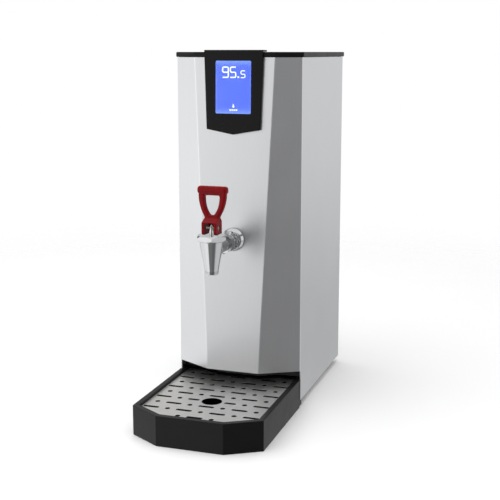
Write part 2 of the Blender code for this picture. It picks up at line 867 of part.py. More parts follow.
def make_lid():
    lid = bevel(plate("lid", [lid_plan(0)], lid_foot, lid_top, black_plastic), lid_edge_radius)
    clear_of_casing = lid_overhang + 2 * sheet + 2 * seat_gap
    skirt = plate("lid_skirt", [lid_plan(clear_of_casing)], casing_top - skirt_depth, lid_foot + overrun)
    hollow = plate("lid_hollow", [lid_plan(clear_of_casing + skirt_wall)],
                   casing_top - skirt_depth - overrun, lid_top - lid_skin)
    display_room = box("lid_display_room", (-display_board_half - slide_gap, -tray_reach, 0),
                       (display_board_half + slide_gap, tank_y - tank_radius, lid_foot))
    cut(join(lid, skirt), hollow, display_room)


def base_plan(distance):
    """The base's outside, moved inwards, between the plinth and the casing."""
    side = inner_half - seat_gap - distance
    rear = flange_inner_y - seat_gap - distance
    return recess_plan(plinth_wall + seat_gap + distance, side) + [(side, rear), (-side, rear)]


def foot_places():
    front = plinth_recess + plinth_shoulder_step + foot_end_inset
    rear = casing_depth - foot_end_inset
    return [(name, side * (half - foot_side_inset), y)
            for name, side, y in (("front_left", -1, front), ("front_right", 1, front),
                                  ("rear_left", -1, rear), ("rear_right", 1, rear))]


def make_base_and_plinth():
    base = plate("base_tray", [base_plan(0)], casing_foot, casing_foot + base_flange, plain_steel)
    cut(base, plate("base_hollow", [base_plan(base_sheet)], base_floor_top, casing_top))
    cut(base, *[rod(f"foot_hole_{name}", foot_screw_radius + seat_gap, 0, base_floor_top + overrun,
                    at=(x, y, 0), sides=small_steps) for name, x, y in foot_places()])

    side = inner_half - seat_gap
    back = recess_plan(plinth_wall, side)[::-1]
    soffit_foot = panel_foot + soffit_rise
    soffit_top = soffit_foot + plinth_wall
    plinth = plate("plinth", [recess_plan(0, side) + back], casing_foot, soffit_top, black_plastic)
    front_edge = inset(casing_plan(soffit_top), sheet + seat_gap)[1:-1]
    soffit = plate("plinth_soffit", [front_edge + back], soffit_foot, soffit_top)
    join(plinth, soffit)


def make_feet():
    hole = foot_screw_radius + seat_gap
    foot_profile = [(hole, foot_height), (foot_top_radius, foot_height), (foot_radius, 0),
                    (foot_recess_radius, 0), (foot_recess_radius, foot_recess_depth),
                    (hole, foot_recess_depth)]
    head_top = foot_recess_depth - seat_gap
    head_foot = head_top - foot_screw_head_height
    nut_foot = base_floor_top + seat_gap
    nut_top = nut_foot + foot_nut_height
    screw_profile = [(0, nut_top), (foot_nut_radius, nut_top), (foot_nut_radius, nut_foot),
                     (foot_screw_radius, nut_foot), (foot_screw_radius, head_top),
                     (foot_screw_head, head_top), (foot_screw_head, head_foot), (0, head_foot)]
    for name, x, y in foot_places():
        turned(f"foot_{name}", foot_profile, black_rubber, at=(x, y, 0), steps=12)
        turned(f"foot_screw_{name}", screw_profile, zinc_steel, at=(x, y, 0), steps=small_steps)


# Display

def make_display():
    top = up_the_face(lid_top + seat_gap + cap_thickness)
    shoulder, tip = up_the_face(bezel_shoulder), up_the_face(bezel_tip)
    shield = [(0, tip), (bezel_shoulder_width / 2, shoulder), (bezel_top_width / 2, top),
              (-bezel_top_width / 2, top), (-bezel_shoulder_width / 2, shoulder)]
    foot = up_the_face(window_foot)
    bezel = plate("bezel", [shield], seat_gap, bezel_proud, bezel_plastic, turn=FORWARD, parent=front_plane)
    bevel(bezel, bezel_edge_radius)
    cap_foot = lid_top + seat_gap
    cap = box("bezel_cap", (-bezel_top_width / 2, face_setback(lid_top) - bezel_proud / 2, cap_foot),
              (bezel_top_width / 2, face_setback(casing_top) - lid_overhang + cap_hook,
               cap_foot + cap_thickness))
    bevel(cap, cap_edge_radius)
    pocket = plate("bezel_pocket", [inset(shield, bezel_wall)], -overrun, bezel_proud - bezel_skin,
                   turn=FORWARD, parent=front_plane)
    window = rounded(rectangle(window_width, foot, foot + window_height), window_corner)
    hole = plate("bezel_window", [window], -overrun, bezel_proud + overrun, turn=FORWARD,
                 parent=front_plane)
    lid_room = plate("bezel_lid_room", [lid_plan(-seat_gap)], lid_foot - seat_gap, cap_foot)
    cut(join(bezel, cap), pocket, hole, lid_room)

    lens = rounded(rectangle(window_width - 2 * seat_gap, foot + seat_gap, foot + window_height - seat_gap),
                   window_corner - seat_gap)
    plate("display_window", [lens], bezel_proud - bezel_skin, bezel_proud - lens_recess, lens_acrylic,
          turn=FORWARD, parent=front_plane)
    glass_front = bezel_proud - bezel_skin - seat_gap
    display_block("display_glass", -lcd_frame_margin, glass_front, display_frame_front + seat_gap, lcd_blue)
    frame = display_block("display_frame", 0, display_frame_front, display_frame_back, white_plastic)
    cut(frame, display_block("display_frame_hollow", -lcd_frame_wall, display_frame_back + lcd_tray_depth,
                             display_frame_back - overrun))

    holes = [circle(x, z, post_radius / 2 + seat_gap, small_steps) for x, z in display_post_places()]
    outline = rectangle(2 * display_board_half, display_board_foot, display_board_top)
    board = plate("display_board", [outline, *holes], display_board_back, display_board_front, board_green,
                  turn=FORWARD, parent=front_plane)
    middle, size = (display_board_foot + display_board_top) / 2, display_chip_size / 2
    chip_root = -display_board_back - board_thickness / 2
    chip_top = -display_board_back + display_chip_height
    for i, x in enumerate((-window_width / 4, window_width / 4)):
        join(board, box(f"display_chip_{i}", (x - size, chip_root, middle - size),
                        (x + size, chip_top, middle + size), parent=front_plane))


# Drip tray and grid

def make_tray():
    arm = tray_arm_half
    step_y = corner_setback - slide_gap
    outside = tray_front(0) + [(tray_half, step_y), (arm, step_y), *recess_plan(-slide_gap, arm)[::-1],
                               (-arm, step_y), (-tray_half, step_y)]
    tray = plate("drip_tray", [outside], 0, tray_height, tray_plastic)
    bevel(tray, tray_edge_radius, angle=25 * degree)
    opening = plate("tray_grid_seat", [tray_plan(rim_width, tray_rear_wall)], ledge_height,
                    tray_height + overrun)
    basin_floor = tray_floor_rise + tray_floor
    basin = plate("tray_basin", [tray_plan(rim_width + ledge_width, tray_rear_wall + ledge_width)],
                  basin_floor, tray_height + overrun)
    groove_outer = tray_front(tray_half - arm + tray_wall)
    groove_inner = tray_front(rim_width + ledge_width - basin_wall)
    groove_end = step_y - tray_wall
    groove = plate("tray_underside", [[(groove_outer[0][0], groove_end), *groove_outer,
                                       (groove_outer[-1][0], groove_end), (groove_inner[-1][0], groove_end),
                                       *groove_inner[::-1], (groove_inner[0][0], groove_end)]],
                   -overrun, ledge_height - tray_wall)
    sole_plan = tray_plan(rim_width + ledge_width - basin_wall, tray_rear_wall + ledge_width - basin_wall)
    sole = plate("tray_sole", [sole_plan], -overrun, tray_floor_rise)
    cut(tray, opening, basin, groove, sole)


def inside(point, outline):
    """Whether a point lies inside a closed outline."""
    x, y = point
    hit = False
    for (ax, ay), (bx, by) in zip(outline, outline[1:] + outline[:1]):
        if (ay > y) != (by > y) and x < ax + (bx - ax) * (y - ay) / (by - ay):
            hit = not hit
    return hit


def grid_holes(outline):
    """Slots and dots in a chequered pattern round the drain hole, which takes the place of a dot."""
    margin = [tuple(point) for point in inset(outline, grid_edge_web)]
    holes = [circle(0, -drain_reach, drain_radius, tap_steps)]
    columns = int(tray_half / hole_column_pitch)
    rows = int(tray_reach / hole_row_pitch)
    trim = drain_radius + drain_web
    for row in range(-rows, rows + 1):
        y = -drain_reach + row * hole_row_pitch
        for column in range(-columns, columns + 1):
            x = column * hole_column_pitch
            if row == 0 and column == 0:
                continue
            if (row + column) % 2 == 0:
                reach = grid_dot_radius
                low_x, high_x = x - reach, x + reach
            else:
                reach = grid_slot_width / 2
                low_x, high_x = x - grid_slot_length / 2, x + grid_slot_length / 2
                if row == 0 and low_x < trim < high_x:
                    low_x = trim
                if row == 0 and low_x < -trim < high_x:
                    high_x = -trim
            corners = [(cx, cy) for cx in (low_x, high_x) for cy in (y - reach, y + reach)]
            if not all(inside(corner, margin) for corner in corners):
                continue
            if (row + column) % 2 == 0:
                holes.append(circle(x, y, grid_dot_radius, dot_steps))
            else:
                holes.append(slot(low_x, high_x, y, grid_slot_width))
    return holes


def make_grid():
    outline = tray_plan(rim_width + grid_play, tray_rear_wall + grid_play)
    plate("drip_grid", [outline, *grid_holes(outline)], grid_top - grid_sheet, grid_top, satin_steel)


# Tap

def make_tap_shank():
    at = (0, tap_face, tap_height)
    hole = thread_radius + seat_gap
    far = up_the_face(casing_top)
    flange = turned("tap_flange", [
        (hole, flange_depth), (dome_radius, flange_depth), (flange_radius * dome_share, flange_shoulder),
        (flange_radius, flange_rim), (flange_radius, -flange_rim), (hole, -flange_rim)],
        chrome, at=at, turn=FORWARD, steps=tap_steps)
    cut(flange, box("flange_seat", (-half, -seat_gap, -far), (half, casing_depth / 2, far),
                    parent=front_plane))

    nut_foot = flange_depth + seat_gap
    nut_top = nut_foot + lock_nut_depth
    floor = lock_nut_radius - lock_nut_notch_depth
    nut = turned("tap_lock_nut", [
        (hole, nut_top), (floor, nut_top), (lock_nut_radius, nut_top - lock_nut_notch_depth),
        (lock_nut_radius, nut_foot), (hole, nut_foot)], chrome, at=at, turn=FORWARD)
    for i in range(lock_nut_notches):
        around = (math.pi / 2, math.tau * i / lock_nut_notches, 0)
        cut(nut, box(f"lock_nut_notch_{i}", (floor, -lock_nut_notch_width / 2, nut_foot - overrun),
                     (lock_nut_radius + overrun, lock_nut_notch_width / 2, nut_top + overrun),
                     at=at, turn=around))

    washer_back = -(sheet + seat_gap + washer_depth + washer_radius * math.tan(face_lean))
    washer = turned("tap_washer", [(hole, overrun), (washer_radius, overrun), (washer_radius, washer_back),
                                   (hole, washer_back)], silicone, at=at, turn=FORWARD)
    cut(washer, box("washer_seat", (-half, -casing_depth / 2, -far), (half, sheet + seat_gap, far),
                    parent=front_plane))
    nut_front = washer_back - seat_gap
    back_nut = hexagon("tap_back_nut", back_nut_flats, nut_front - back_nut_depth, nut_front, brass,
                       at=at, turn=FORWARD)
    cut(back_nut, rod("back_nut_bore", hole, -casing_depth / 2, casing_depth / 2, at=at, turn=FORWARD))


def make_tap_body():
    axis = (0, -tap_reach, 0)
    mouth = tap_height - spout_drop
    foot = mouth + spout_straight
    body = turned("tap_body", [
        (0, cone_top), (cone_top_radius - cone_lip, cone_top), (cone_top_radius, cone_top - cone_lip),
        (cone_foot_radius, foot), (cone_foot_radius, mouth + cone_lip),
        (cone_foot_radius - cone_lip, mouth), (0, mouth)], chrome, at=axis, steps=tap_steps)
    at = (0, tap_face, tap_height)
    collar_foot = flange_depth + lock_nut_depth + 2 * seat_gap
    collar_top = collar_foot + collar_depth
    end = tap_face + tap_reach - chamber_radius
    tail = turned("tap_tail", [
        (0, end), (tail_root_radius, end), (tail_root_radius, end - neck_depth),
        (neck_radius, collar_top + neck_depth), (neck_radius, collar_foot), (thread_radius, collar_foot),
        (thread_radius, tap_face - tail_end), (0, tap_face - tail_end)], at=at, turn=FORWARD)
    collar = hexagon("tap_collar", collar_flats, collar_foot, collar_top, at=at, turn=FORWARD)
    # The neck is planed level with the cone's top, so that the bonnet passes over it
    planed = box("tap_neck_plane", (-half, -tap_reach, cone_top),
                 (half, tap_face - collar_top - seat_gap, pin_height))
    waterway = turned("tap_waterway", [
        (0, pin_height), (chamber_radius, pin_height), (chamber_radius, valve_seat + chamber_rise),
        (chamber_foot_radius, valve_seat), (outlet_radius, valve_seat), (outlet_radius, foot),
        (mouth_radius, mouth), (mouth_radius, mouth - overrun), (0, mouth - overrun)],
        at=axis, steps=tap_steps)
    bore = rod("tap_bore", tail_bore_radius, tap_face - tail_end - overrun, end + chamber_radius / 2,
               at=at, turn=FORWARD)
    cut(join(body, tail, collar), planed, waterway, bore)


def make_tap_bonnet():
    axis = (0, -tap_reach, 0)
    corner = bonnet_flats / math.sqrt(3)
    bonnet = hexagon("tap_bonnet", bonnet_flats, bonnet_foot, bonnet_top, chrome, at=axis,
                     turn=(0, 0, bonnet_turn))
    chamfer = turned("bonnet_chamfer", [
        (0, bonnet_top), (corner - bonnet_chamfer, bonnet_top), (corner, bonnet_top - bonnet_chamfer_depth),
        (corner, bonnet_foot + bonnet_chamfer_depth), (corner - bonnet_chamfer, bonnet_foot),
        (0, bonnet_foot)], at=axis, steps=tap_steps)
    combine(bonnet, "INTERSECT", [chamfer])
    plug_radius = chamber_radius - seat_gap
    join(bonnet, rod("bonnet_plug", plug_radius, cone_top - bonnet_plug_depth, bonnet_foot + overrun / 2,
                     at=axis, sides=tap_steps))
    cut(bonnet, rod("bonnet_bore", stem_radius + seat_gap, valve_seat, pin_height, at=axis))


def make_valve():
    axis = (0, -tap_reach, 0)
    cup_foot = valve_seat + seat_gap
    cup_top = cup_foot + seal_cup_height
    turned("seal_cup", [(0, cup_top), (seal_cup_radius, cup_top),
                        (seal_cup_radius, cup_foot + seal_cup_chamfer),
                        (seal_cup_radius * dome_share, cup_foot), (0, cup_foot)], silicone, at=axis)
    collar_foot = cup_top + seat_gap
    collar_top = collar_foot + stem_collar_height
    tip, neck = pin_height + stem_tip_rise, bonnet_top + stem_neck_rise
    stem = turned("valve_stem", [(0, tip), (stem_tip_radius, tip), (stem_shoulder_radius, pin_height),
                                 (stem_radius, neck), (stem_radius, collar_top),
                                 (stem_collar_radius, collar_top), (stem_collar_radius, collar_foot),
                                 (0, collar_foot)], plain_steel, at=axis)
    cut(stem, rod("stem_pin_hole", pin_radius + seat_gap, -half, half, at=(0, -tap_reach, pin_height),
                  turn=SIDEWAYS, sides=12))

    low = collar_top + seat_gap + spring_wire
    high = cone_top - bonnet_plug_depth - seat_gap - spring_wire
    steps = int(spring_turns * spring_steps_per_turn)
    coil = [(spring_radius * math.cos(math.tau * spring_turns * i / steps),
             spring_radius * math.sin(math.tau * spring_turns * i / steps),
             low + (high - low) * i / steps) for i in range(steps + 1)]
    wound = tube_mesh("stem_spring", coil, spring_wire, spring_sides)
    shade(add("stem_spring", wound, plain_steel, at=axis))

    length = handle_block_width / 2 - seat_gap
    shoulder = length - pin_head_depth
    turned("pivot_pin", [(0, length), (pin_head_radius, length), (pin_head_radius, shoulder),
                         (pin_radius, shoulder), (pin_radius, -shoulder), (pin_head_radius, -shoulder),
                         (pin_head_radius, -length), (0, -length)],
           plain_steel, turn=SIDEWAYS, parent=handle_pivot)


def cam_outline(steps=8):
    """The handle's foot, seen from its right: a flat, then a cam that lifts in step with the tilt."""
    points = [(-handle_back, -cam_radius)]
    neck_front = handle_neck_depth / 2 - handle_setback
    for i in range(steps + 1):
        angle = handle_travel * i / steps
        radius = cam_radius + cam_lift * angle
        points.append((radius * math.sin(angle) + cam_lift * math.cos(angle),
                       -radius * math.cos(angle) + cam_lift * math.sin(angle)))
    return points + [(handle_front, points[-1][1] + handle_edge_radius), (handle_front, handle_shoulder),
                     (neck_front, handle_neck_rise), (neck_front - handle_neck_depth, handle_neck_rise),
                     (-handle_back, handle_shoulder)]


def make_handle():
    half_block = handle_block_width / 2
    # The outline's first axis points forward and its second up
    handle = plate("tap_handle", [cam_outline()], -half_block, half_block, red_plastic,
                   turn=(math.pi / 2, 0, -math.pi / 2), parent=handle_pivot)
    bevel(handle, handle_edge_radius)

    bar_foot = handle_top - handle_bar
    loop_top = bar_foot + handle_bar / 2
    waist = handle_waist_width / 2
    spread = handle_width / 2 * loop_top_share - waist
    outside = [(waist + spread * w, handle_shoulder + (loop_top - handle_shoulder) * r)
               for w, r in zip(loop_spread_shares, loop_rise_shares)]
    gap = [(handle_hole_width / 2 * w, handle_hole_foot + (handle_hole_top - handle_hole_foot) * r)
           for w, r in zip(hole_width_shares, hole_rise_shares)]
    root, upright = (0, handle_setback, 0), (math.pi / 2 - handle_lean, 0, 0)
    loop = plate("handle_loop", [mirrored_ring(outside), mirrored_ring(gap)], -handle_loop_depth / 2,
                 handle_loop_depth / 2, at=root, turn=upright, parent=handle_pivot)
    bevel(loop, handle_loop_radius, segments=1, angle=50 * degree)
    bar_outline = rounded(rectangle(handle_width, bar_foot, handle_top), handle_bar_radius)
    bar = plate("handle_bar", [bar_outline], -handle_bar_depth / 2, handle_bar_depth / 2, at=root,
                turn=upright, parent=handle_pivot)
    bevel(bar, handle_loop_radius, angle=50 * degree)
    join(handle, loop, bar)

    fork = box("handle_fork", (-fork_width / 2, -handle_front - overrun, -cam_radius - overrun),
               (fork_width / 2, fork_back, fork_rise), parent=handle_pivot)
    bevel(fork, fork_edge_radius)
    pin_hole = rod("handle_pin_hole", pin_radius + seat_gap, -half, half, turn=SIDEWAYS,
                   parent=handle_pivot, sides=12)
    head_floor = half_block - pin_head_depth - 2 * seat_gap
    heads = [rod(f"handle_head_hole_{i}", pin_head_radius + seat_gap, head_floor, half,
                 turn=(0, side * math.pi / 2, 0), parent=handle_pivot) for i, side in enumerate((-1, 1))]
    cut(handle, fork, pin_hole, *heads)


def mirrored_ring(right):
    """A closed outline, anticlockwise, from its right-hand points listed from the foot up."""
    return list(right) + [(-x, y) for x, y in reversed(right)]


# Tank and what stands on its lid

def around_lid(count, radius):
    """Evenly spaced places round the tank's axis, with the front one between two of them."""
    angles = [math.tau * (i + 0.5) / count for i in range(count)]
    return [(radius * math.cos(angle), radius * math.sin(angle)) for angle in angles]


def on_tank(side_share, back_share):
    """A place on the tank's lid, given in shares of the tank's radius."""
    return side_share * tank_radius, tank_y + back_share * tank_radius


def make_tank():
    axis = (0, tank_y, 0)
    inner = tank_radius - tank_wall
    flange = tank_radius + tank_flange_width
    flange_foot = tank_top - tank_flange_thickness
    stud_places = around_lid(lid_studs, flange - lid_stud_inset)
    tank = turned("tank", [(0, tank_foot + tank_wall), (inner, tank_foot + tank_wall), (inner, tank_top),
                           (flange, tank_top), (flange, flange_foot), (tank_radius, flange_foot),
                           (tank_radius, tank_foot), (0, tank_foot)],
                  plain_steel, at=axis, steps=large_steps)
    boss = rod("tank_boss", boss_radius, inner - boss_weld_depth - tank_y, -boss_front,
               at=(0, 0, tap_height), turn=FORWARD)
    spigot_at = (inlet_side, tank_y + spigot_back_share * tank_radius, 0)
    spigot = rod("tank_spigot", spigot_radius, tank_foot - spigot_length, tank_foot + tank_wall / 2,
                 at=spigot_at)
    studs = [rod(f"lid_stud_{i}", lid_stud_radius, flange_foot + seat_gap, tank_lid_top + lid_stud_rise,
                 at=(x, tank_y + y, 0), sides=small_steps) for i, (x, y) in enumerate(stud_places)]
    join(tank, boss, spigot, *studs)
    boss_bore = rod("tank_boss_bore", thread_radius + boss_play, -tank_y, -boss_front + overrun,
                    at=(0, 0, tap_height), turn=FORWARD)
    spigot_bore = rod("tank_spigot_bore", spigot_bore_radius, 0, tank_foot + tank_wall + overrun,
                      at=spigot_at, sides=12)
    cut(tank, boss_bore, spigot_bore)

    seal_foot, seal_inner = tank_top + seat_gap, inner + tank_wall / 2
    seal_top, seal_outer = seal_foot + tank_seal_thickness, seal_inner + tank_seal_width
    turned("tank_seal", [(seal_inner, seal_top), (seal_outer, seal_top), (seal_outer, seal_foot),
                         (seal_inner, seal_foot)], silicone, at=axis, steps=large_steps)

    outlines = [circle(0, 0, flange, large_steps)]
    outlines += [circle(x, y, lid_stud_radius + seat_gap, small_steps) for x, y in stud_places]
    for side_share, back_share, radius in (
            (element_side_share, element_back_share, element_thread_radius + seat_gap),
            (probe_side_share, probe_back_share, probe_radius + seat_gap),
            (level_side_share, level_back_share, level_holder_neck + seat_gap),
            (vent_side_share, vent_back_share, overflow_bore_radius)):
        outlines.append(circle(side_share * tank_radius, back_share * tank_radius, radius))
    plate("tank_lid", outlines, tank_lid_foot, tank_lid_top, plain_steel, at=axis)

    jacket_top = flange_foot - jacket_top_gap
    jacket_bore = tank_radius + seat_gap
    jacket = turned("insulation_jacket", [(jacket_bore, jacket_top), (jacket_radius, jacket_top),
                                          (jacket_radius, tank_foot), (jacket_bore, tank_foot)],
                    foam, at=axis, steps=large_steps)
    cut(jacket, rod("jacket_boss_hole", boss_radius + seat_gap, -tank_y, overrun, at=(0, 0, tap_height),
                    turn=FORWARD))


def make_stand():
    foot = base_floor_top + seat_gap + stand_sheet
    wide, deep = tank_radius * stand_width_share / 2, tank_radius * stand_depth_share / 2
    row = mirrored([(wide, tank_foot - seat_gap), (wide, foot), (wide + stand_foot, foot)])
    folded_sheet("tank_stand", [(x, tank_y - deep, z) for x, z in row],
                 [(x, tank_y + deep, z) for x, z in row], stand_sheet, stand_fold_radius, zinc_steel)


def make_lid_fittings():
    seat = tank_lid_top + seat_gap
    x, y = on_tank(element_side_share, element_back_share)
    head_top = seat + element_head_height
    stub_foot = tank_lid_foot - element_stub
    element = hexagon("heating_element", element_flats, seat, head_top, brass, at=(x, y, 0))
    join(element, rod("element_stub", element_thread_radius, stub_foot, seat + element_head_height / 2,
                      at=(x, y, 0)))
    foot = tank_foot + tank_wall + element_foot_gap
    for i, side in enumerate((-1, 1)):
        offset = side * element_spacing
        root = stub_foot + element_stub / 2
        path = bent_path([(-element_bend, offset, root), (-element_bend, offset, foot),
                          (element_bend, offset, foot), (element_bend, offset, root)],
                         element_bend * element_bend_share)
        join(element, add(f"element_loop_{i}", tube_mesh(f"element_loop_{i}", path, element_tube_radius, 6),
                          None, at=(x, y, 0)))
        for j, end in enumerate((-element_bend, element_bend)):
            join(element, rod(f"element_terminal_{i}_{j}", element_terminal_radius,
                              head_top - element_head_height / 2, head_top + element_terminal_height,
                              at=(x + end, y + offset, 0), sides=small_steps))

    x, y = on_tank(probe_side_share, probe_back_share)
    probe = hexagon("temperature_probe", probe_flats, seat, seat + probe_head_height, plain_steel,
                    at=(x, y, 0))
    join(probe, rod("probe_rod", probe_radius, tank_lid_foot - probe_length, seat + probe_neck_height,
                    at=(x, y, 0), sides=12))

    x, y = on_tank(level_side_share, level_back_share)
    holder_top = seat + level_holder_height
    rods = [(level_rod_spacing * math.cos(math.tau * i / 3), level_rod_spacing * math.sin(math.tau * i / 3))
            for i in range(3)]
    holder = turned("level_probe_holder", [(0, holder_top), (level_holder_radius, holder_top),
                                           (level_holder_radius, seat), (level_holder_neck, seat),
                                           (level_holder_neck, tank_lid_foot - level_holder_height),
                                           (0, tank_lid_foot - level_holder_height)],
                    white_plastic, at=(x, y, 0))
    cut(holder, *[rod(f"level_hole_{i}", level_rod_radius + seat_gap, tank_foot, holder_top + overrun,
                      at=(x + rx, y + ry, 0), sides=small_steps) for i, (rx, ry) in enumerate(rods)])
    for name, (rx, ry), length in zip(("low", "middle", "high"), rods, level_rod_lengths):
        rod(f"level_probe_{name}", level_rod_radius, tank_lid_foot - length, holder_top + level_rod_top,
            plain_steel, at=(x + rx, y + ry, 0), sides=small_steps)

    x, y = on_tank(cutout_side_share, cutout_back_share)
    cutout = turned("overheat_cutout", [(0, seat + cutout_height), (cutout_radius, seat + cutout_height),
                                        (cutout_radius, seat + cutout_flange),
                                        (cutout_flange_radius, seat + cutout_flange),
                                        (cutout_flange_radius, seat), (0, seat)],
                    black_plastic, at=(x, y, 0))
    for i, side in enumerate((-1, 1)):
        left, front = x + (side * cutout_radius - cutout_flange) / 2, y - cutout_blade / 2
        join(cutout, box(f"cutout_blade_{i}", (left, front, seat + cutout_flange),
                         (left + cutout_flange, front + cutout_blade, seat + cutout_height + cutout_blade)))


# Water and mains entry

def make_water_inlet():
    at = (inlet_side, back_face, port_height)
    panel = -sheet - seat_gap
    flange_front = panel - inlet_flange_depth
    body_front = flange_front - valve_body_depth
    spigot_front = body_front - valve_spigot_depth
    thread, bore = inlet_thread_radius, inlet_bore_radius
    bore_end, chamfer = inlet_reach - inlet_bore_depth, inlet_thread_chamfer
    turned("fill_valve", [
        (0, bore_end), (bore, bore_end), (bore, inlet_reach), (thread - chamfer, inlet_reach),
        (thread, inlet_reach - chamfer), (thread, panel), (inlet_flange_radius, panel),
        (inlet_flange_radius, flange_front), (valve_body_radius, flange_front),
        (valve_body_radius, body_front), (spigot_radius, body_front), (spigot_radius, spigot_front),
        (spigot_bore_radius, spigot_front), (spigot_bore_radius, body_front), (0, body_front)],
        white_plastic, at=at, turn=BACKWARD)
    nut = hexagon("inlet_nut", inlet_nut_flats, seat_gap, seat_gap + inlet_nut_depth, brass, at=at,
                  turn=BACKWARD)
    cut(nut, rod("inlet_nut_bore", thread + seat_gap, -overrun, inlet_nut_depth + overrun, at=at,
                 turn=BACKWARD))

    coil_y = back_face + (flange_front + body_front) / 2
    coil_foot = port_height + valve_body_radius + seat_gap
    coil_top = coil_foot + coil_height
    turned("valve_coil", [(0, coil_top + coil_core_rise), (coil_core_radius, coil_top + coil_core_rise),
                          (coil_core_radius, coil_top), (coil_radius, coil_top), (coil_radius, coil_foot),
                          (0, coil_foot)], grey_plastic, at=(inlet_side, coil_y, 0))

    spigot_y = tank_y + spigot_back_share * tank_radius
    hose_start = (inlet_side, back_face + body_front - hose_seat, port_height)
    hose_end = (inlet_side, spigot_y, tank_foot - hose_seat)
    bore = (spigot_radius + seat_gap) / math.cos(math.pi / tube_sides)
    pipe("fill_hose", [hose_start, (inlet_side, spigot_y, port_height), hose_end], hose_bend,
         bore + hose_wall, bore, silicone)


def make_overflow():
    x, y = on_tank(vent_side_share, vent_back_share)
    top = tank_lid_top + overflow_rise
    drop_y = back_face - overflow_drop_depth
    corners = [(x, y, tank_lid_top + seat_gap), (x, y, top), (overflow_side, drop_y, top),
               (overflow_side, drop_y, port_height),
               (overflow_side, back_face + overflow_reach, port_height)]
    pipe("overflow_pipe", corners, overflow_bend, overflow_radius, overflow_bore_radius, silicone)
    grommet_back = seat_gap + overflow_flange_depth
    bore = overflow_radius + seat_gap
    turned("overflow_grommet", [
        (bore, grommet_back), (overflow_flange_radius, seat_gap + overflow_flange_depth / 2),
        (overflow_flange_radius, seat_gap), (bore, seat_gap)],
        black_rubber, at=(overflow_side, back_face, port_height), turn=BACKWARD)


def make_mains_entry():
    at = (gland_side, back_face, port_height)
    hex_top, inside_end = seat_gap + gland_hex_depth, -gland_inner_depth
    body_radius = gland_flats / 2 - seat_gap
    gland = hexagon("cable_gland", gland_flats, seat_gap, hex_top, black_plastic, at=at, turn=BACKWARD)
    nose = turned("gland_nose", [(0, gland_reach), (gland_nose_radius, gland_reach),
                                 (body_radius, hex_top + gland_hex_depth / 2), (body_radius, hex_top / 2),
                                 (gland_thread_radius, hex_top / 2), (gland_thread_radius, inside_end),
                                 (0, inside_end)], at=at, turn=BACKWARD)
    join(gland, nose)
    cut(gland, rod("gland_bore", gland_bore_radius, inside_end - overrun, gland_reach + overrun, at=at,
                   turn=BACKWARD))
    nut_back = -sheet - seat_gap
    nut = hexagon("gland_nut", gland_flats, nut_back - gland_nut_depth, nut_back, black_plastic, at=at,
                  turn=BACKWARD)
    cut(nut, rod("gland_nut_bore", gland_thread_radius + seat_gap, -casing_depth / 2, overrun, at=at,
                 turn=BACKWARD))

    foot = base_floor_top + seat_gap
    top = foot + terminal_height
    y = back_face - gland_inner_depth - terminal_depth
    block = box("terminal_block", (gland_side - terminal_length / 2, y - terminal_depth / 2, foot),
                (gland_side + terminal_length / 2, y + terminal_depth / 2, top), white_plastic)
    pitch = terminal_length / terminal_posts
    for i in range(terminal_posts):
        x = gland_side + pitch * (i - (terminal_posts - 1) / 2)
        join(block, rod(f"terminal_post_{i}", terminal_post_radius, top - terminal_height / 2,
                        top + terminal_post_height, at=(x, y, 0), sides=12))


def make_switch():
    at = (gland_side, back_face + seat_gap, switch_height)
    wide, tall = switch_width / 2, switch_tall / 2
    body = box("switch_frame", (-wide, -tall, -switch_depth), (wide, tall, switch_proud / 2), black_plastic,
               at=at, turn=BACKWARD)
    lip = box("switch_lip", (-wide - switch_lip, -tall - switch_lip, 0),
              (wide + switch_lip, tall + switch_lip, switch_proud), at=at, turn=BACKWARD)
    join(body, bevel(lip, switch_edge_radius))
    cut(body, box("switch_well", (-wide + switch_wall, -tall + switch_wall, -switch_depth + switch_wall),
                  (wide - switch_wall, tall - switch_wall, switch_proud + overrun), at=at, turn=BACKWARD))

    # A rocker whose two flats meet over its pivot; it rests tilted one way and tips as far the other way
    reach = tall - switch_wall - rocker_play - rocker_rise * math.sin(rocker_tilt)
    crown = rocker_pivot_depth + rocker_rise * rocker_crown_share
    end, foot = crown + reach * math.tan(rocker_tilt), reach * rocker_foot_share
    outline = [(0, crown), (-reach, end), (-foot, -rocker_skirt), (foot, -rocker_skirt), (reach, end)]
    width = wide - switch_wall - rocker_play
    # The outline's first axis points up and its second backward
    rocker = plate("switch_rocker", [outline], -width, width, black_plastic, parent=rocker_pivot,
                   turn=(0, -math.pi / 2, 0))
    bevel(rocker, rocker_edge_radius)


# Relay board

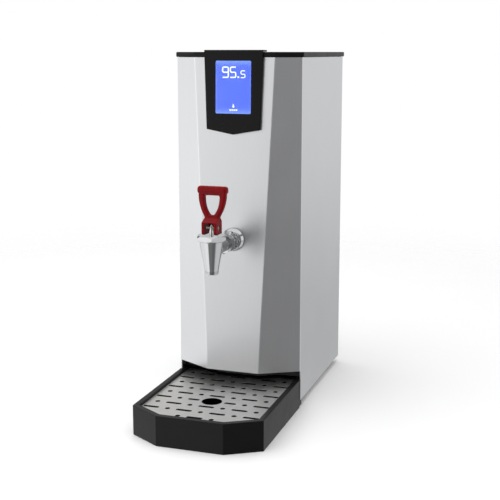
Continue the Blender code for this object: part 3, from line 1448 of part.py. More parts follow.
def make_relay_board():
    wide, low, high = bracket_width / 2, bracket_foot, bracket_foot + bracket_height
    plate_y = casing_depth - bracket_depth
    row = mirrored([(wide, plate_y), (wide, casing_depth)])
    bracket = folded_sheet("board_bracket", [(x, y, low) for x, y in row], [(x, y, high) for x, y in row],
                           bracket_sheet, bracket_fold_radius, zinc_steel)

    side = wide - relay_board_margin
    board_low, board_high = low + relay_board_margin, high - relay_board_margin
    board_back = plate_y - relay_post_height
    board_front = board_back - board_thickness
    places = [(x, z) for x in (post_inset - side, side - post_inset)
              for z in (board_low + post_inset, board_high - post_inset)]
    add_posts(bracket, "relay_post", places, plate_y + bracket_sheet / 2, board_back, board_front,
              BACKWARD, boiler)
    holes = [circle(x, z, post_radius / 2 + seat_gap, small_steps) for x, z in places]
    wall_plate("relay_board", [rectangle(2 * side, board_low, board_high), *holes], board_front, board_back,
               board_green)

    middle, height = (board_low + board_high) / 2, board_high - board_low
    front = board_front - seat_gap
    for name, (width, depth, tall), (side_share, up_share), material in (
            ("relay", relay_size, relay_place_shares, white_plastic),
            ("transformer", transformer_size, transformer_place_shares, grey_plastic),
            ("board_connector", connector_size, connector_place_shares, white_plastic)):
        left, foot = side_share * 2 * side - width / 2, middle + up_share * height - tall / 2
        box(name, (left, front - depth, foot), (left + width, front, foot + tall), material)


make_casing()
make_back_panel()
make_lid()
make_base_and_plinth()
make_feet()
make_display()
make_tray()
make_grid()
make_tap_shank()
make_tap_body()
make_tap_bonnet()
make_valve()
make_handle()
make_tank()
make_stand()
make_lid_fittings()
make_water_inlet()
make_overflow()
make_mains_entry()
make_switch()
make_relay_board()
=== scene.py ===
"""Looks of a counter-top water boiler: its finishes, fine shapes, studio light and camera.

Metres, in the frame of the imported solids, whose boxes say where every piece goes. The front faces -Y.
"""

import json
import math

import bmesh
import bpy
from mathutils import Matrix, Vector


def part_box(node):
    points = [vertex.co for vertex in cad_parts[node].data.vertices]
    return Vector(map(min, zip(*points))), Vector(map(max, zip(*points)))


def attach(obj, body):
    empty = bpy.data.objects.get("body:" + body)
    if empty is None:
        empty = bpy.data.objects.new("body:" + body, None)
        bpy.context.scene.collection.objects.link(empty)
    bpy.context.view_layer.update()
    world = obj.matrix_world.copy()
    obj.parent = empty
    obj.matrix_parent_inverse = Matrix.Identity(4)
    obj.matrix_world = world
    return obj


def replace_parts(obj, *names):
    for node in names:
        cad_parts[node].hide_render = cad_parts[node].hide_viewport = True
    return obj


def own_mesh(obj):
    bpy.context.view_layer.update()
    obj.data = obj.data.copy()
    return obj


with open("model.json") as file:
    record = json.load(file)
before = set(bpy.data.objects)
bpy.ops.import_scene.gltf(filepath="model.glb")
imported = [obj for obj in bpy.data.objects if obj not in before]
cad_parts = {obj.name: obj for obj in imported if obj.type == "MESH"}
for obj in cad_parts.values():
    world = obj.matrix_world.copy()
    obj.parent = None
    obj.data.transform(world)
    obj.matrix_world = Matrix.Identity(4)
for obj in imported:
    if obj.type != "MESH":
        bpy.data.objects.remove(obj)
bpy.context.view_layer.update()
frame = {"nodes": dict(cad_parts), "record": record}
nodes = frame["nodes"]
body_of = {node: body for body, members in frame["record"]["behaviour"]["bodies"].items()
    for node in members}
slot_of = {row["node"]: row["material_slot"] for row in frame["record"]["subparts"]}

mm = 0.001
degree = math.radians(1)
merge_distance = 0.002 * mm
round_steps = 96
small_steps = 40
smooth_angle = 32 * degree
edge_steps = 4
eased_share = 0.45
UP = (0, 0, 1)
FORWARD = (0, -1, 0)
BACKWARD = (0, 1, 0)


# Finishes

def colour(code):
    """An sRGB hex colour as the linear values that shaders take."""
    channels = [int(code[i:i + 2], 16) / 255 for i in (1, 3, 5)]
    return (*[c / 12.92 if c <= 0.04045 else ((c + 0.055) / 1.055) ** 2.4 for c in channels], 1)


def add_node(tree, kind, links=None, **settings):
    """Adds a node. Links gives inputs, by name or number, as values or as other nodes' outputs."""
    node = tree.nodes.new(kind)
    for name, value in settings.items():
        setattr(node, name, value)
    for key, value in (links or {}).items():
        if isinstance(value, bpy.types.NodeSocket):
            tree.links.new(value, node.inputs[key])
        else:
            node.inputs[key].default_value = value
    return node


def out(tree, kind, links=None, socket=0, **settings):
    """What a new node puts out."""
    return add_node(tree, kind, links, **settings).outputs[socket]


def noise(tree, sizes, detail=2.0):
    """Noise from 0 to 1 whose spots measure the sizes given, in mm, along the object's X, Y and Z."""
    place = out(tree, "ShaderNodeTexCoord", socket="Object")
    scaled = out(tree, "ShaderNodeMapping", {"Vector": place, "Scale": [1 / (size * mm) for size in sizes]})
    return out(tree, "ShaderNodeTexNoise", {"Vector": scaled, "Scale": 1.0, "Detail": detail})


def blended(tree, first, second, share):
    """Two patterns mixed, with a share of the second."""
    return out(tree, "ShaderNodeMix", {0: share, 2: first, 3: second}, data_type="FLOAT")


def tinted(tree, first, second, share):
    """Two colours mixed, with a share of the second."""
    return out(tree, "ShaderNodeMix", {0: share, 6: first, 7: second}, data_type="RGBA", socket=2)


def maths(tree, operation, first, second=0.0):
    return out(tree, "ShaderNodeMath", {0: first, 1: second}, operation=operation)


def ranged(tree, value, *limits, smooth=False):
    """A value carried from the range of the first two limits to that of the next two, or to 0 and 1."""
    return out(tree, "ShaderNodeMapRange", {"Value": value, **dict(enumerate(limits, 1))},
        interpolation_type="SMOOTHSTEP" if smooth else "LINEAR")


def new_material(name):
    """A new material, its node tree and its shader."""
    material = bpy.data.materials.new(name)
    material.use_nodes = True
    return material, material.node_tree, material.node_tree.nodes["Principled BSDF"]


def finish(name, pattern, colours, roughness, depth=0.0, **sockets):
    """A material whose colour, roughness and relief follow one pattern. The relief's depth is in mm."""
    material, tree, shader = new_material(name)
    for socket, value in sockets.items():
        shader.inputs[socket.replace("_", " ")].default_value = value
    level = pattern(tree)
    spread = ranged(tree, level, 0.3, 0.7)
    tree.links.new(tinted(tree, *map(colour, colours), spread), shader.inputs["Base Color"])
    tree.links.new(ranged(tree, spread, 0, 1, *roughness), shader.inputs["Roughness"])
    if depth:
        relief = out(tree, "ShaderNodeBump", {"Height": level, "Distance": depth * mm, "Strength": 1.0})
        tree.links.new(relief, shader.inputs["Normal"])
    return material


def brushed(grain_width, grain_length, axis, cloud=60):
    """Grain lines along one axis over faint broad clouds. Sizes are in mm."""
    def pattern(tree):
        sizes = [grain_width] * 3
        sizes[axis] = grain_length
        return blended(tree, noise(tree, sizes, detail=3.0), noise(tree, [cloud] * 3), 0.35)
    return pattern


def grained(size, cloud=25, share=0.3):
    """An even grain over faint broad clouds. Sizes are in mm."""
    def pattern(tree):
        return blended(tree, noise(tree, [size] * 3, detail=3.0), noise(tree, [cloud] * 3), share)
    return pattern


# Brushed 304 stainless sheet, belt-ground upwards: soft mirror images that smear sideways. The real
# lines are 0.1 mm apart and are drawn 0.7 mm apart to show.
panel_steel = finish("brushed_stainless_sheet", brushed(0.7, 60, 2), ("#dcdddf", "#e1e2e4"), (0.36, 0.41),
    0.002, Metallic=1.0, Anisotropic=0.35)
# The same sheet with its grain along the grid's width.
grid_steel = finish("brushed_stainless_grid", brushed(0.7, 50, 0), ("#e8e7e4", "#f0efec"), (0.34, 0.42),
    0.002, Metallic=1.0)


def paint_shade_on_cut_walls(material, code):
    """Paints shade on the walls of the cuts, the faces that stand upright, so that the holes read dark."""
    tree = material.node_tree
    base_colour = tree.nodes["Principled BSDF"].inputs["Base Color"]
    facing = out(tree, "ShaderNodeNewGeometry", socket="Normal")
    upward = out(tree, "ShaderNodeSeparateXYZ", {0: facing}, socket="Z")
    plate = ranged(tree, maths(tree, "ABSOLUTE", upward), 0.3, 0.8)
    tree.links.new(tinted(tree, colour(code), base_colour.links[0].from_socket, plate), base_colour)


# Painted shade: the upright walls of the grid's holes are coloured near black.
paint_shade_on_cut_walls(grid_steel, "#1c1b1a")
# Cold-rolled 304 stainless, left as it comes from the mill: a fine matt grey.
mill_steel = finish("mill_stainless", grained(1.2), ("#b9b9b8", "#c6c6c5"), (0.34, 0.46), 0.003,
    Metallic=1.0)
# Turned and polished stainless bar: thin rings left by the lathe, drawn 0.25 mm apart.
turned_steel = finish("turned_stainless", brushed(0.25, 8, 0), ("#c4c2bf", "#d2d0cd"), (0.14, 0.24), 0.001,
    Metallic=1.0)
# Nickelled steel pin, tumbled: a dull warm grey with scuffs 1 mm across.
tumbled_nickel = finish("tumbled_nickelled_steel", grained(1), ("#8f897c", "#9c968a"), (0.45, 0.6), 0.002,
    Metallic=1.0)
# Bright zinc plate on mild steel: bluish, with spangled clouds a few millimetres wide.
zinc_plate = finish("bright_zinc_plate", grained(4), ("#b4b8bb", "#c9cccc"), (0.24, 0.38), 0.004,
    Metallic=1.0)
# Decorative chrome on polished brass: a mirror, with a trace of orange peel 3 mm wide.
chrome_plate = finish("chrome_plate_on_brass", grained(3), ("#cbccce", "#d1d2d4"), (0.035, 0.07), 0.002,
    Metallic=1.0)
# Machined brass, unplated: warm, with cutter marks 0.3 mm apart.
machined_brass = finish("machined_brass", brushed(0.3, 6, 2), ("#c9a45c", "#d8b56c"), (0.22, 0.34), 0.002,
    Metallic=1.0)
# Black ABS moulded in a spark-eroded tool: grit 0.5 mm across, drawn 0.9 mm, breaks up its sheen.
lid_plastic = finish("grained_black_abs", grained(0.9), ("#0e0e0f", "#131314"), (0.34, 0.48), 0.02,
    IOR=1.53, Specular_IOR_Level=0.16)
# The plinth's moulding is the same ABS, charcoal and left dull by its shallow grit of 0.9 mm. Its grey is
# lightened to paint in the light that the bright grid throws up into its shade.
plinth_abs_with_painted_bounce = finish("charcoal_abs_with_painted_bounce", grained(0.9), ("#59595c", "#626265"), (0.42, 0.55), 0.015,
    IOR=1.53, Specular_IOR_Level=0.3)
# Polypropylene for the tray: charcoal, semi-gloss, a soft grain 0.8 mm across.
tray_plastic = finish("charcoal_polypropylene", grained(0.8), ("#111112", "#161617"), (0.30, 0.42), 0.012,
    IOR=1.49, Specular_IOR_Level=0.18)
# Satin-gloss PC/ABS for the display's surround: nearly smooth, so its edges carry a thin line of light.
bezel_plastic = finish("satin_black_pc_abs", grained(1.5), ("#0d0d0e", "#111112"), (0.22, 0.30), 0.003,
    IOR=1.58, Specular_IOR_Level=0.1)
# Glass-filled nylon, dyed dark red and polished in the tool: glossy, with a slight flow mottle.
handle_plastic = finish("polished_red_nylon", grained(6), ("#6f040b", "#7c070e"), (0.18, 0.26), 0.01,
    IOR=1.53, Specular_IOR_Level=0.1)
# Unfilled nylon, as moulded: milky white with a dull shine.
white_nylon = finish("natural_white_nylon", grained(1.5), ("#dcdbd5", "#e4e3de"), (0.38, 0.5), 0.008,
    IOR=1.53)
# Grey epoxy and polyester housings of the coil and the transformer: fine matt grit.
grey_epoxy = finish("grey_epoxy", grained(0.8), ("#7a7d80", "#86898c"), (0.5, 0.62), 0.015, IOR=1.55)
# EPDM rubber, moulded: no shine, dusty specks 0.6 mm across.
epdm_rubber = finish("black_epdm_rubber", grained(0.6), ("#1b1b1b", "#242423"), (0.78, 0.9), 0.02, IOR=1.52,
    Sheen_Weight=0.1)
# Extruded silicone: cloudy, pale, and lit through.
silicone = finish("translucent_silicone", grained(2), ("#d9d4c9", "#e2ded5"), (0.42, 0.55), 0.006, IOR=1.41,
    Subsurface_Weight=0.1, Subsurface_Scale=2 * mm)
# Solder mask over copper: glossy green with tracks that show as slightly raised bands 1.3 mm wide.
solder_mask = finish("green_solder_mask", brushed(1.3, 22, 2), ("#0e4a2a", "#166238"), (0.2, 0.34), 0.03,
    IOR=1.55)
# Needled fibre felt round the tank: matt tangled fibres, drawn 1 mm wide and 7 mm long.
fibre_felt = finish("grey_fibre_felt", brushed(1, 7, 0), ("#5f5f60", "#77777a"), (0.86, 0.96), 0.25,
    Sheen_Weight=0.3)
# Cast acrylic window over the display: clear, faintly blue, with a hard-coated face.
window_acrylic = finish("clear_cast_acrylic", grained(20), ("#f4f7ff", "#f7f9ff"), (0.02, 0.03), IOR=1.49,
    Transmission_Weight=1.0)


display_side_rim = 7 * mm
display_end_rim = 14 * mm


def display_glow():
    """A backlit liquid-crystal panel: edge lights make its rim paler than its middle."""
    low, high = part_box("display_glass")
    middle, half = (low + high) / 2, (high - low) / 2
    material, tree, shader = new_material("backlit_blue_display")
    place = out(tree, "ShaderNodeTexCoord", socket="Object")
    parts = add_node(tree, "ShaderNodeSeparateXYZ", {0: place}).outputs
    edges = []
    for axis, rim in ((0, display_side_rim), (2, display_end_rim)):
        away = maths(tree, "ABSOLUTE", maths(tree, "SUBTRACT", parts[axis], middle[axis]))
        edges.append(ranged(tree, away, half[axis] - rim, half[axis], smooth=True))
    tint = tinted(tree, colour("#0058ff"), colour("#6f9bff"), maths(tree, "MAXIMUM", *edges))
    shader.inputs["Base Color"].default_value = colour("#0a0d1c")
    shader.inputs["Roughness"].default_value = 0.3
    shader.inputs["Emission Strength"].default_value = 1.0
    tree.links.new(tint, shader.inputs["Emission Color"])
    return material


display_blue = display_glow()
# Lit figures of the display: their light outshines any grain, so only a faint fall-off shows.
display_white = finish("lit_display_figures", grained(4), ("#c8d0e0", "#d4dcec"), (0.4, 0.5),
    Emission_Color=colour("#f4f7ff"), Emission_Strength=1.0)

# Which finish each of the solids' material slots gets
finish_of_slot = {"satin_steel": panel_steel, "plain_steel": mill_steel, "zinc_steel": zinc_plate,
    "chrome": chrome_plate, "brass": machined_brass, "black_plastic": lid_plastic,
    "tray_plastic": tray_plastic, "bezel_plastic": bezel_plastic, "red_plastic": handle_plastic,
    "white_plastic": white_nylon, "grey_plastic": grey_epoxy, "black_rubber": epdm_rubber,
    "silicone": silicone, "display_window": window_acrylic, "display_glass": display_blue,
    "circuit_board": solder_mask, "insulation": fibre_felt}


# Shared modelling steps

def bake(piece):
    """Turns the piece's modifiers into mesh and returns the piece."""
    graph = bpy.context.evaluated_depsgraph_get()
    mesh = bpy.data.meshes.new_from_object(piece.evaluated_get(graph))
    piece.modifiers.clear()
    piece.data = mesh
    return piece


def new_piece(name, data):
    piece = bpy.data.objects.new(name, data)
    bpy.context.scene.collection.objects.link(piece)
    return piece


def merged(mesh):
    """A bmesh of the mesh, with its doubled points merged."""
    work = bmesh.new()
    work.from_mesh(mesh)
    bmesh.ops.remove_doubles(work, verts=work.verts, dist=merge_distance)
    return work


def written(work, mesh):
    """Ends the work on a bmesh: the mesh takes it over and is returned."""
    work.to_mesh(mesh)
    work.free()
    return mesh


def finished_mesh(name, work):
    """A new piece from the bmesh, with its faces outward."""
    bmesh.ops.recalc_face_normals(work, faces=work.faces)
    return new_piece(name, written(work, bpy.data.meshes.new(name)))


def centre(node):
    """The middle of a solid's box."""
    low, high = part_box(node)
    return [(first + last) / 2 for first, last in zip(low, high)]


def soften(piece, width=0.0, segments=3, angle=smooth_angle):
    """Rounds the sharp edges, if a width is given, and shades the piece smooth between the others."""
    if width:
        edges = piece.modifiers.new("edges", "BEVEL")
        edges.width, edges.segments = width, segments
        edges.limit_method, edges.angle_limit = "ANGLE", angle
        edges.miter_outer = "MITER_ARC"
        bake(piece)
    piece.data.shade_smooth()
    piece.data.set_sharp_from_angle(angle=angle)
    weights = piece.modifiers.new("weights", "WEIGHTED_NORMAL")
    weights.keep_sharp = True
    return bake(piece)


def dress(piece, node, like=None, material=None):
    """Gives a piece the body of one solid, and the finish of that solid's slot or of another solid's slot,
    or the material given.
    """
    slot = slot_of[like or node]
    piece.data.materials.clear()
    piece.data.materials.append(material or finish_of_slot[slot])
    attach(piece, body_of[node])
    return piece


def fit(piece, node, material=None):
    """Dresses a finished piece as the solid that it stands for."""
    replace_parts(dress(piece, node, material=material), node)
    return piece


def refined(node, width=0.0, segments=2, angle=smooth_angle, material=None):
    """The solid's own form with its flat faces whole again, its edges rounded and its curves smooth."""
    name = node + "_form"
    work = merged(nodes[node].data)
    bmesh.ops.dissolve_limit(work, angle_limit=0.1 * degree, verts=work.verts, edges=work.edges)
    piece = new_piece(name, written(work, bpy.data.meshes.new(name)))
    return fit(soften(piece, width, segments, angle), node, material=material)


def eased(points, radius, ring=False, steps=edge_steps):
    """The points with each corner rounded, as far as its shorter side allows. Loose ends stay."""
    points = [Vector(point) for point in points]
    result = []
    for i, corner in enumerate(points):
        if not ring and i in (0, len(points) - 1):
            result.append(corner)
            continue
        before, after = points[i - 1] - corner, points[(i + 1) % len(points)] - corner
        reach = min(radius, before.length * eased_share, after.length * eased_share)
        start, end = corner + before.normalized() * reach, corner + after.normalized() * reach
        for step in range(steps + 1):
            t = step / steps
            result.append(start * (1 - t) ** 2 + corner * 2 * t * (1 - t) + end * t ** 2)
    return result


def even_turns(count, first=0.0):
    return [first + math.tau * i / count for i in range(count)]


def lathe(name, profile, at, along=UP, ring=False, steps=round_steps):
    """A piece turned about an axis. Its profile gives radius and height, and a ring's profile closes."""
    axis = Vector(along)
    side = axis.orthogonal().normalized()
    other = axis.cross(side)
    work = bmesh.new()
    rows = []
    for radius, height in profile:
        centre = Vector(at) + axis * height
        if radius:
            rows.append([work.verts.new(centre + radius * (side * math.cos(turn) + other * math.sin(turn)))
                    for turn in even_turns(steps)])
        else:
            rows.append([work.verts.new(centre)] * steps)
    for first, second in zip(rows, rows[1:] + rows[:1] if ring else rows[1:]):
        for i in range(-1, steps - 1):
            work.faces.new(tuple(dict.fromkeys((first[i], first[i + 1], second[i + 1], second[i]))))
    return finished_mesh(name, work)


def rod(radius, low, high, at=(0, 0, 0), along=UP, steps=round_steps):
    return lathe("rod", [(0, high), (radius, high), (radius, low), (0, low)], at, along, steps=steps)


def doubled(half):
    """A profile that is alike at both ends, from its upper half."""
    return half + [(radius, -height) for radius, height in reversed(half)]


def in_mm(*points):
    """Points of an outline or a profile, given in millimetres."""
    return [(first * mm, second * mm) for first, second in points]


def prism(name, outline, low, high, place=Matrix()):
    """A straight piece on a flat outline, in a frame of its own."""
    work = bmesh.new()
    rows = [[work.verts.new(place @ Vector((x, y, z))) for x, y in outline] for z in (low, high)]
    for row in rows:
        work.faces.new(row)
    for i in range(-1, len(outline) - 1):
        work.faces.new((rows[0][i], rows[0][i + 1], rows[1][i + 1], rows[1][i]))
    return finished_mesh(name, work)


def slab(name, outlines, depth, edge, place):
    """A flat piece with round rims, in a frame of its own. The first outline is its outside."""
    curve = bpy.data.curves.new(name, "CURVE")
    curve.dimensions, curve.fill_mode = "2D", "BOTH"
    curve.extrude, curve.bevel_depth, curve.offset = depth / 2 - edge, edge, -edge
    curve.bevel_resolution = edge_steps
    for outline in outlines:
        spline = curve.splines.new("POLY")
        spline.points.add(len(outline) - 1)
        for point, (x, y) in zip(spline.points, outline):
            point.co = (x, y, 0, 1)
        spline.use_cyclic_u = True
    flat = new_piece(name, curve)
    mesh = bpy.data.meshes.new_from_object(flat.evaluated_get(bpy.context.evaluated_depsgraph_get()))
    bpy.data.objects.remove(flat)
    work = merged(mesh)
    bmesh.ops.transform(work, matrix=place, verts=work.verts)
    return finished_mesh(name, work)


def axes(at, first, second):
    """A frame with its origin and the directions of its X and Y."""
    first, second = Vector(first), Vector(second)
    turned = Matrix((first, second, first.cross(second))).transposed().to_4x4()
    return Matrix.Translation(at) @ turned


def combined(piece, operation, *tools):
    """Joins, cuts or trims a piece with other ones, which are used up."""
    for tool in tools:
        step = piece.modifiers.new("step", "BOOLEAN")
        step.operation, step.object, step.solver = operation, tool, "EXACT"
    bake(piece)
    for tool in tools:
        bpy.data.objects.remove(tool)
    work = merged(piece.data)
    bmesh.ops.dissolve_degenerate(work, edges=work.edges, dist=merge_distance)
    written(work, piece.data)
    return piece


def circle(radius, steps=round_steps, turn=0.0):
    return [(radius * math.cos(turn), radius * math.sin(turn)) for turn in even_turns(steps, turn)]


def rectangle(width, low, high):
    return [(-width / 2, low), (width / 2, low), (width / 2, high), (-width / 2, high)]


def through(points, steps, ring=False):
    """A smooth line through the points."""
    points = [Vector(point) for point in points]
    count = len(points)
    result = []
    for i in range(count if ring else count - 1):
        if ring:
            a, b, c, d = (points[(i + k) % count] for k in (-1, 0, 1, 2))
        else:
            a, b, c, d = (points[min(max(i + k, 0), count - 1)] for k in (-1, 0, 1, 2))
        for step in range(steps):
            t = step / steps
            result.append(b + ((c - a) * t + (a * 2 - b * 5 + c * 4 - d) * t * t
                    + (b * 3 - a - c * 3 + d) * t ** 3) / 2)
    return result if ring else result + [points[-1]]


def mirrored(right):
    """A closed outline from its right-hand points, listed from the foot up."""
    return [(x, y) for x, y in right] + [(-x, y) for x, y in reversed(right)]


def hexagon(name, corner, foot, top, ease, at, up, turn=math.pi / 2, steps=round_steps):
    """A six-sided piece, its corners turned off at both ends as far inward and along as ease says."""
    place = axes(at, (1, 0, 0), up)
    inward, along = ease
    turned = lathe(name + "_chamfer", [(0, top), (corner - inward, top), (corner, top - along),
            (corner, foot + along), (corner - inward, foot), (0, foot)], at, place.col[2].xyz, steps=steps)
    return combined(prism(name, circle(corner, 6, turn=turn), foot, top, place), "INTERSECT", turned)


def grooves(count, at, along, radii, width, heights):
    """Cutters for even grooves round an axis, between two radii and two heights."""
    (inner, outer), half = radii, width / 2
    outline = [(inner, -half), (outer, -half), (outer, half), (inner, half)]
    cutters = []
    for turn in even_turns(count):
        outward = Vector((math.cos(turn), 0, math.sin(turn)))
        cutters.append(prism("groove", outline, *heights, axes(at, outward, Vector(along).cross(outward))))
    return cutters


def grown(name, base, build, material, sizes=None):
    """A piece that a Geometry Nodes tree makes from a base mesh and named sizes."""
    tree = bpy.data.node_groups.new(name, "GeometryNodeTree")
    tree.interface.new_socket("Geometry", in_out="INPUT", socket_type="NodeSocketGeometry")
    tree.interface.new_socket("Geometry", in_out="OUTPUT", socket_type="NodeSocketGeometry")
    sizes = {tree.interface.new_socket(key, in_out="INPUT", socket_type="NodeSocketFloat").identifier: value
        for key, value in (sizes or {}).items()}
    start = add_node(tree, "NodeGroupInput")
    real = out(tree, "GeometryNodeRealizeInstances", {"Geometry": build(tree, start)})
    dressed = out(tree, "GeometryNodeSetMaterial", {"Geometry": real, "Material": material})
    add_node(tree, "NodeGroupOutput", {0: dressed})
    piece = new_piece(name, base)
    modifier = piece.modifiers.new("grow", "NODES")
    modifier.node_group = tree
    for identifier, value in sizes.items():
        modifier[identifier] = value
    work = merged(bake(piece).data)
    bmesh.ops.recalc_face_normals(work, faces=work.faces)
    written(work, piece.data)
    return piece


# Finishes of the solids that stay, and fine forms of the main ones

lid_edge = 1.2 * mm
fine_round_angle = 50 * degree

for node, piece in nodes.items():
    for position in range(len(piece.data.materials)):
        piece.data.materials[position] = finish_of_slot[slot_of[node]]
    if not piece.data.materials:
        piece.data.materials.append(finish_of_slot[slot_of[node]])

for node in ("outer_casing", "back_panel", "base_tray", "tank_stand", "board_bracket", "switch_frame",
        "switch_rocker", "overflow_pipe", "fill_hose", "tank", "tank_lid"):
    refined(node)
refined("lid", lid_edge, 3)
# The plinth's pale grey is partly painted light: it stands for light bounced up from the grid into its
# shade.
refined("plinth", material=plinth_abs_with_painted_bounce)
# The fine rounds of these two meet at steeper angles
for node in ("drip_tray", "bezel"):
    refined(node, angle=fine_round_angle)


# Tap

stem_low, stem_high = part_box("valve_stem")
tap_y = centre("valve_stem")[1]
tap_height = centre("tap_lock_nut")[2]
tap_body_low, tap_body_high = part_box("tap_body")
flange_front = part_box("tap_flange")[0].y
flange_depth = 9.5 * mm
face_y = flange_front + flange_depth
face_lean = 1.45 * degree
shift_y = -65.75 * mm
play = 0.3 * mm
overrun = 4 * mm
shank_hole = 10.5 * mm
nut_depth = 8 * mm
nut_outside = 15 * mm
nut_floor = 12 * mm
notch_width = 3.6 * mm
notch_count = 10
tail_radius = 11 * mm
collar_foot = 35 * mm
collar_depth = 10 * mm
collar_corner = 16.5 * mm
spout_radius = 10.4 * mm
cone_radius = 18.4 * mm
bonnet_depth = 9 * mm
bonnet_corner = 43 * mm / math.sqrt(3)
pin_radius = 1.8 * mm
pin_head_radius = 4.1 * mm
spring_wire = 0.9 * mm
spring_radius = 5.6 * mm
spring_turns = 4.5


def make_flange():
    """A dished chrome flange with a stepped rim, whose back lies on the leaning panel."""
    profile = [(shank_hole, 0), (shank_hole, flange_depth), (13.2 * mm, flange_depth),
        *in_mm((14.2, 8.4), (15.6, 7.7), (17.4, 5.6), (19, 3.6), (19, 0))]
    flange = lathe("tap_flange_dish", eased(profile, 0.9 * mm), (0, face_y, tap_height), FORWARD, ring=True)
    for vertex in flange.data.vertices:
        if abs(vertex.co.y - face_y) < merge_distance:
            vertex.co.y += (vertex.co.z - tap_height) * math.tan(face_lean) - play
    fit(soften(flange), "tap_flange")


def make_lock_nut():
    """A round chrome nut with notches for a hook spanner."""
    foot = flange_depth + play
    top = foot + nut_depth
    profile = [(shank_hole, top), (nut_floor, top), (nut_outside, top - 1.4 * mm),
        (nut_outside, foot + 0.5 * mm), (nut_outside - 0.5 * mm, foot), (shank_hole, foot)]
    at = (0, face_y, tap_height)
    nut = lathe("tap_lock_nut_ring", eased(profile, 0.3 * mm, ring=True), at, FORWARD, ring=True)
    notches = grooves(notch_count, at, FORWARD, (nut_floor, nut_outside + overrun), notch_width,
        (foot - overrun, top + overrun))
    fit(soften(combined(nut, "DIFFERENCE", *notches), 0.18 * mm, 2, 40 * degree), "tap_lock_nut")


def make_tap_body():
    """A tapering spout on a level shank, with a six-sided collar between the spout and the lock nut."""
    axis = (0, tap_y, 0)
    top, mouth = tap_body_high.z, tap_body_low.z
    foot = mouth + 6 * mm
    cone = lathe("tap_body_cast",
        eased([(0, top), (cone_radius - 0.8 * mm, top), (cone_radius, top - 0.8 * mm), (spout_radius, foot),
                (spout_radius, mouth + mm), (spout_radius - 0.8 * mm, mouth), (0, mouth)], 2.4 * mm), axis)
    at = (0, face_y, tap_height)
    tail_foot = flange_depth + nut_depth + 2 * play
    inner_end = face_y - tap_body_high.y
    end = face_y - tap_y - 13.4 * mm
    tail = lathe("tap_tail",
        eased([(0, end), (tail_radius + 2 * mm, end), (tail_radius + 2 * mm, end - 5 * mm),
                (tail_radius, end - 11 * mm), (tail_radius, tail_foot), (10.2 * mm, tail_foot),
                (10.2 * mm, inner_end), (0, inner_end)], 1.2 * mm), at, FORWARD)
    collar = hexagon("tap_collar", collar_corner, collar_foot, collar_foot + collar_depth,
        (2.2 * mm, 1.6 * mm), at, UP)
    waterway = lathe("tap_waterway", [(0, top + overrun), (13.4 * mm, top + overrun),
            (13.4 * mm, tap_height - 6 * mm), (9.4 * mm, tap_height - 16 * mm),
            (5.8 * mm, tap_height - 16 * mm), (5.8 * mm, foot), (7.4 * mm, mouth + 0.6 * mm),
            (8.2 * mm, mouth - overrun), (0, mouth - overrun)], axis)
    bore = rod(6 * mm, -80 * mm, end + 6 * mm, at, FORWARD)
    body = combined(combined(cone, "UNION", tail, collar), "DIFFERENCE", waterway, bore)
    fit(soften(body), "tap_body")


def make_bonnet():
    """The flat six-sided cap of the tap, turned as the solid is."""
    low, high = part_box("tap_bonnet")
    top, foot = high.z, high.z - bonnet_depth
    farthest = max((vertex.co for vertex in nodes["tap_bonnet"].data.vertices),
        key=lambda place: math.hypot(place.x, place.y - tap_y))
    turn = math.atan2(farthest.y - tap_y, farthest.x)
    axis = (0, tap_y, 0)
    bonnet = hexagon("tap_bonnet_cap", bonnet_corner, foot, top, (4.2 * mm, 2.9 * mm), axis, BACKWARD, turn,
        2 * round_steps)
    bonnet = combined(bonnet, "UNION", rod(13.1 * mm, low.z, foot + mm, axis))
    bonnet = combined(bonnet, "DIFFERENCE", rod(3.5 * mm, low.z - overrun, top + overrun, axis))
    fit(soften(bonnet, 0.2 * mm, 2, 20 * degree), "tap_bonnet")


def make_valve():
    """The turned stem, whose top is ground to a point, and the pin that the handle turns on."""
    pivot = centre("pivot_pin")[2]
    collar = stem_low.z + 1.8 * mm
    stem = lathe("valve_stem_turned",
        eased([(0, stem_high.z), (0.7 * mm, stem_high.z), (2.4 * mm, pivot), (3.2 * mm, pivot - 7 * mm),
                (3.2 * mm, collar), (7.4 * mm, collar), (7.4 * mm, stem_low.z), (0, stem_low.z)], 0.5 * mm),
        (0, tap_y, 0))
    hole = rod(pin_radius, -20 * mm, 20 * mm, (0, tap_y, pivot), (1, 0, 0), small_steps)
    fit(soften(combined(stem, "DIFFERENCE", hole)), "valve_stem", material=turned_steel)

    length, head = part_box("pivot_pin")[1].x, pin_head_radius
    half = [(0, length), (head * 0.5, length - 0.1 * mm), (head * 0.85, length - 0.5 * mm),
        (head, length - 1.2 * mm), (head, length - 1.9 * mm), (1.5 * mm, length - 1.9 * mm)]
    pin = lathe("pivot_pin_turned", doubled(half), (0, tap_y, pivot), (1, 0, 0))
    fit(soften(pin), "pivot_pin", material=tumbled_nickel)


def make_spring():
    """The return spring: round wire wound round the stem, from the stem's collar to the bonnet."""
    low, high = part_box("stem_spring")
    foot, top = low.z + spring_wire, high.z - spring_wire
    sizes = {"Turns": spring_turns, "Radius": spring_radius, "Height": top - foot, "Wire": spring_wire}

    def build(tree, start):
        coil = out(tree, "GeometryNodeCurveSpiral", {"Resolution": 64, "Rotations": start.outputs["Turns"],
                "Start Radius": start.outputs["Radius"], "End Radius": start.outputs["Radius"],
                "Height": start.outputs["Height"]})
        section = out(tree, "GeometryNodeCurvePrimitiveCircle",
            {"Resolution": 16, "Radius": start.outputs["Wire"]})
        tube = out(tree, "GeometryNodeCurveToMesh", {"Curve": coil, "Profile Curve": section,
                "Fill Caps": True})
        return out(tree, "GeometryNodeTransform", {"Geometry": tube, "Translation": (0, tap_y, foot)})

    spring = grown("stem_spring_wire", bpy.data.meshes.new("spring_base"), build, turned_steel, sizes)
    fit(soften(spring), "stem_spring", material=turned_steel)
    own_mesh(spring)


# Handle, about its pivot: first measure across or forward, second up

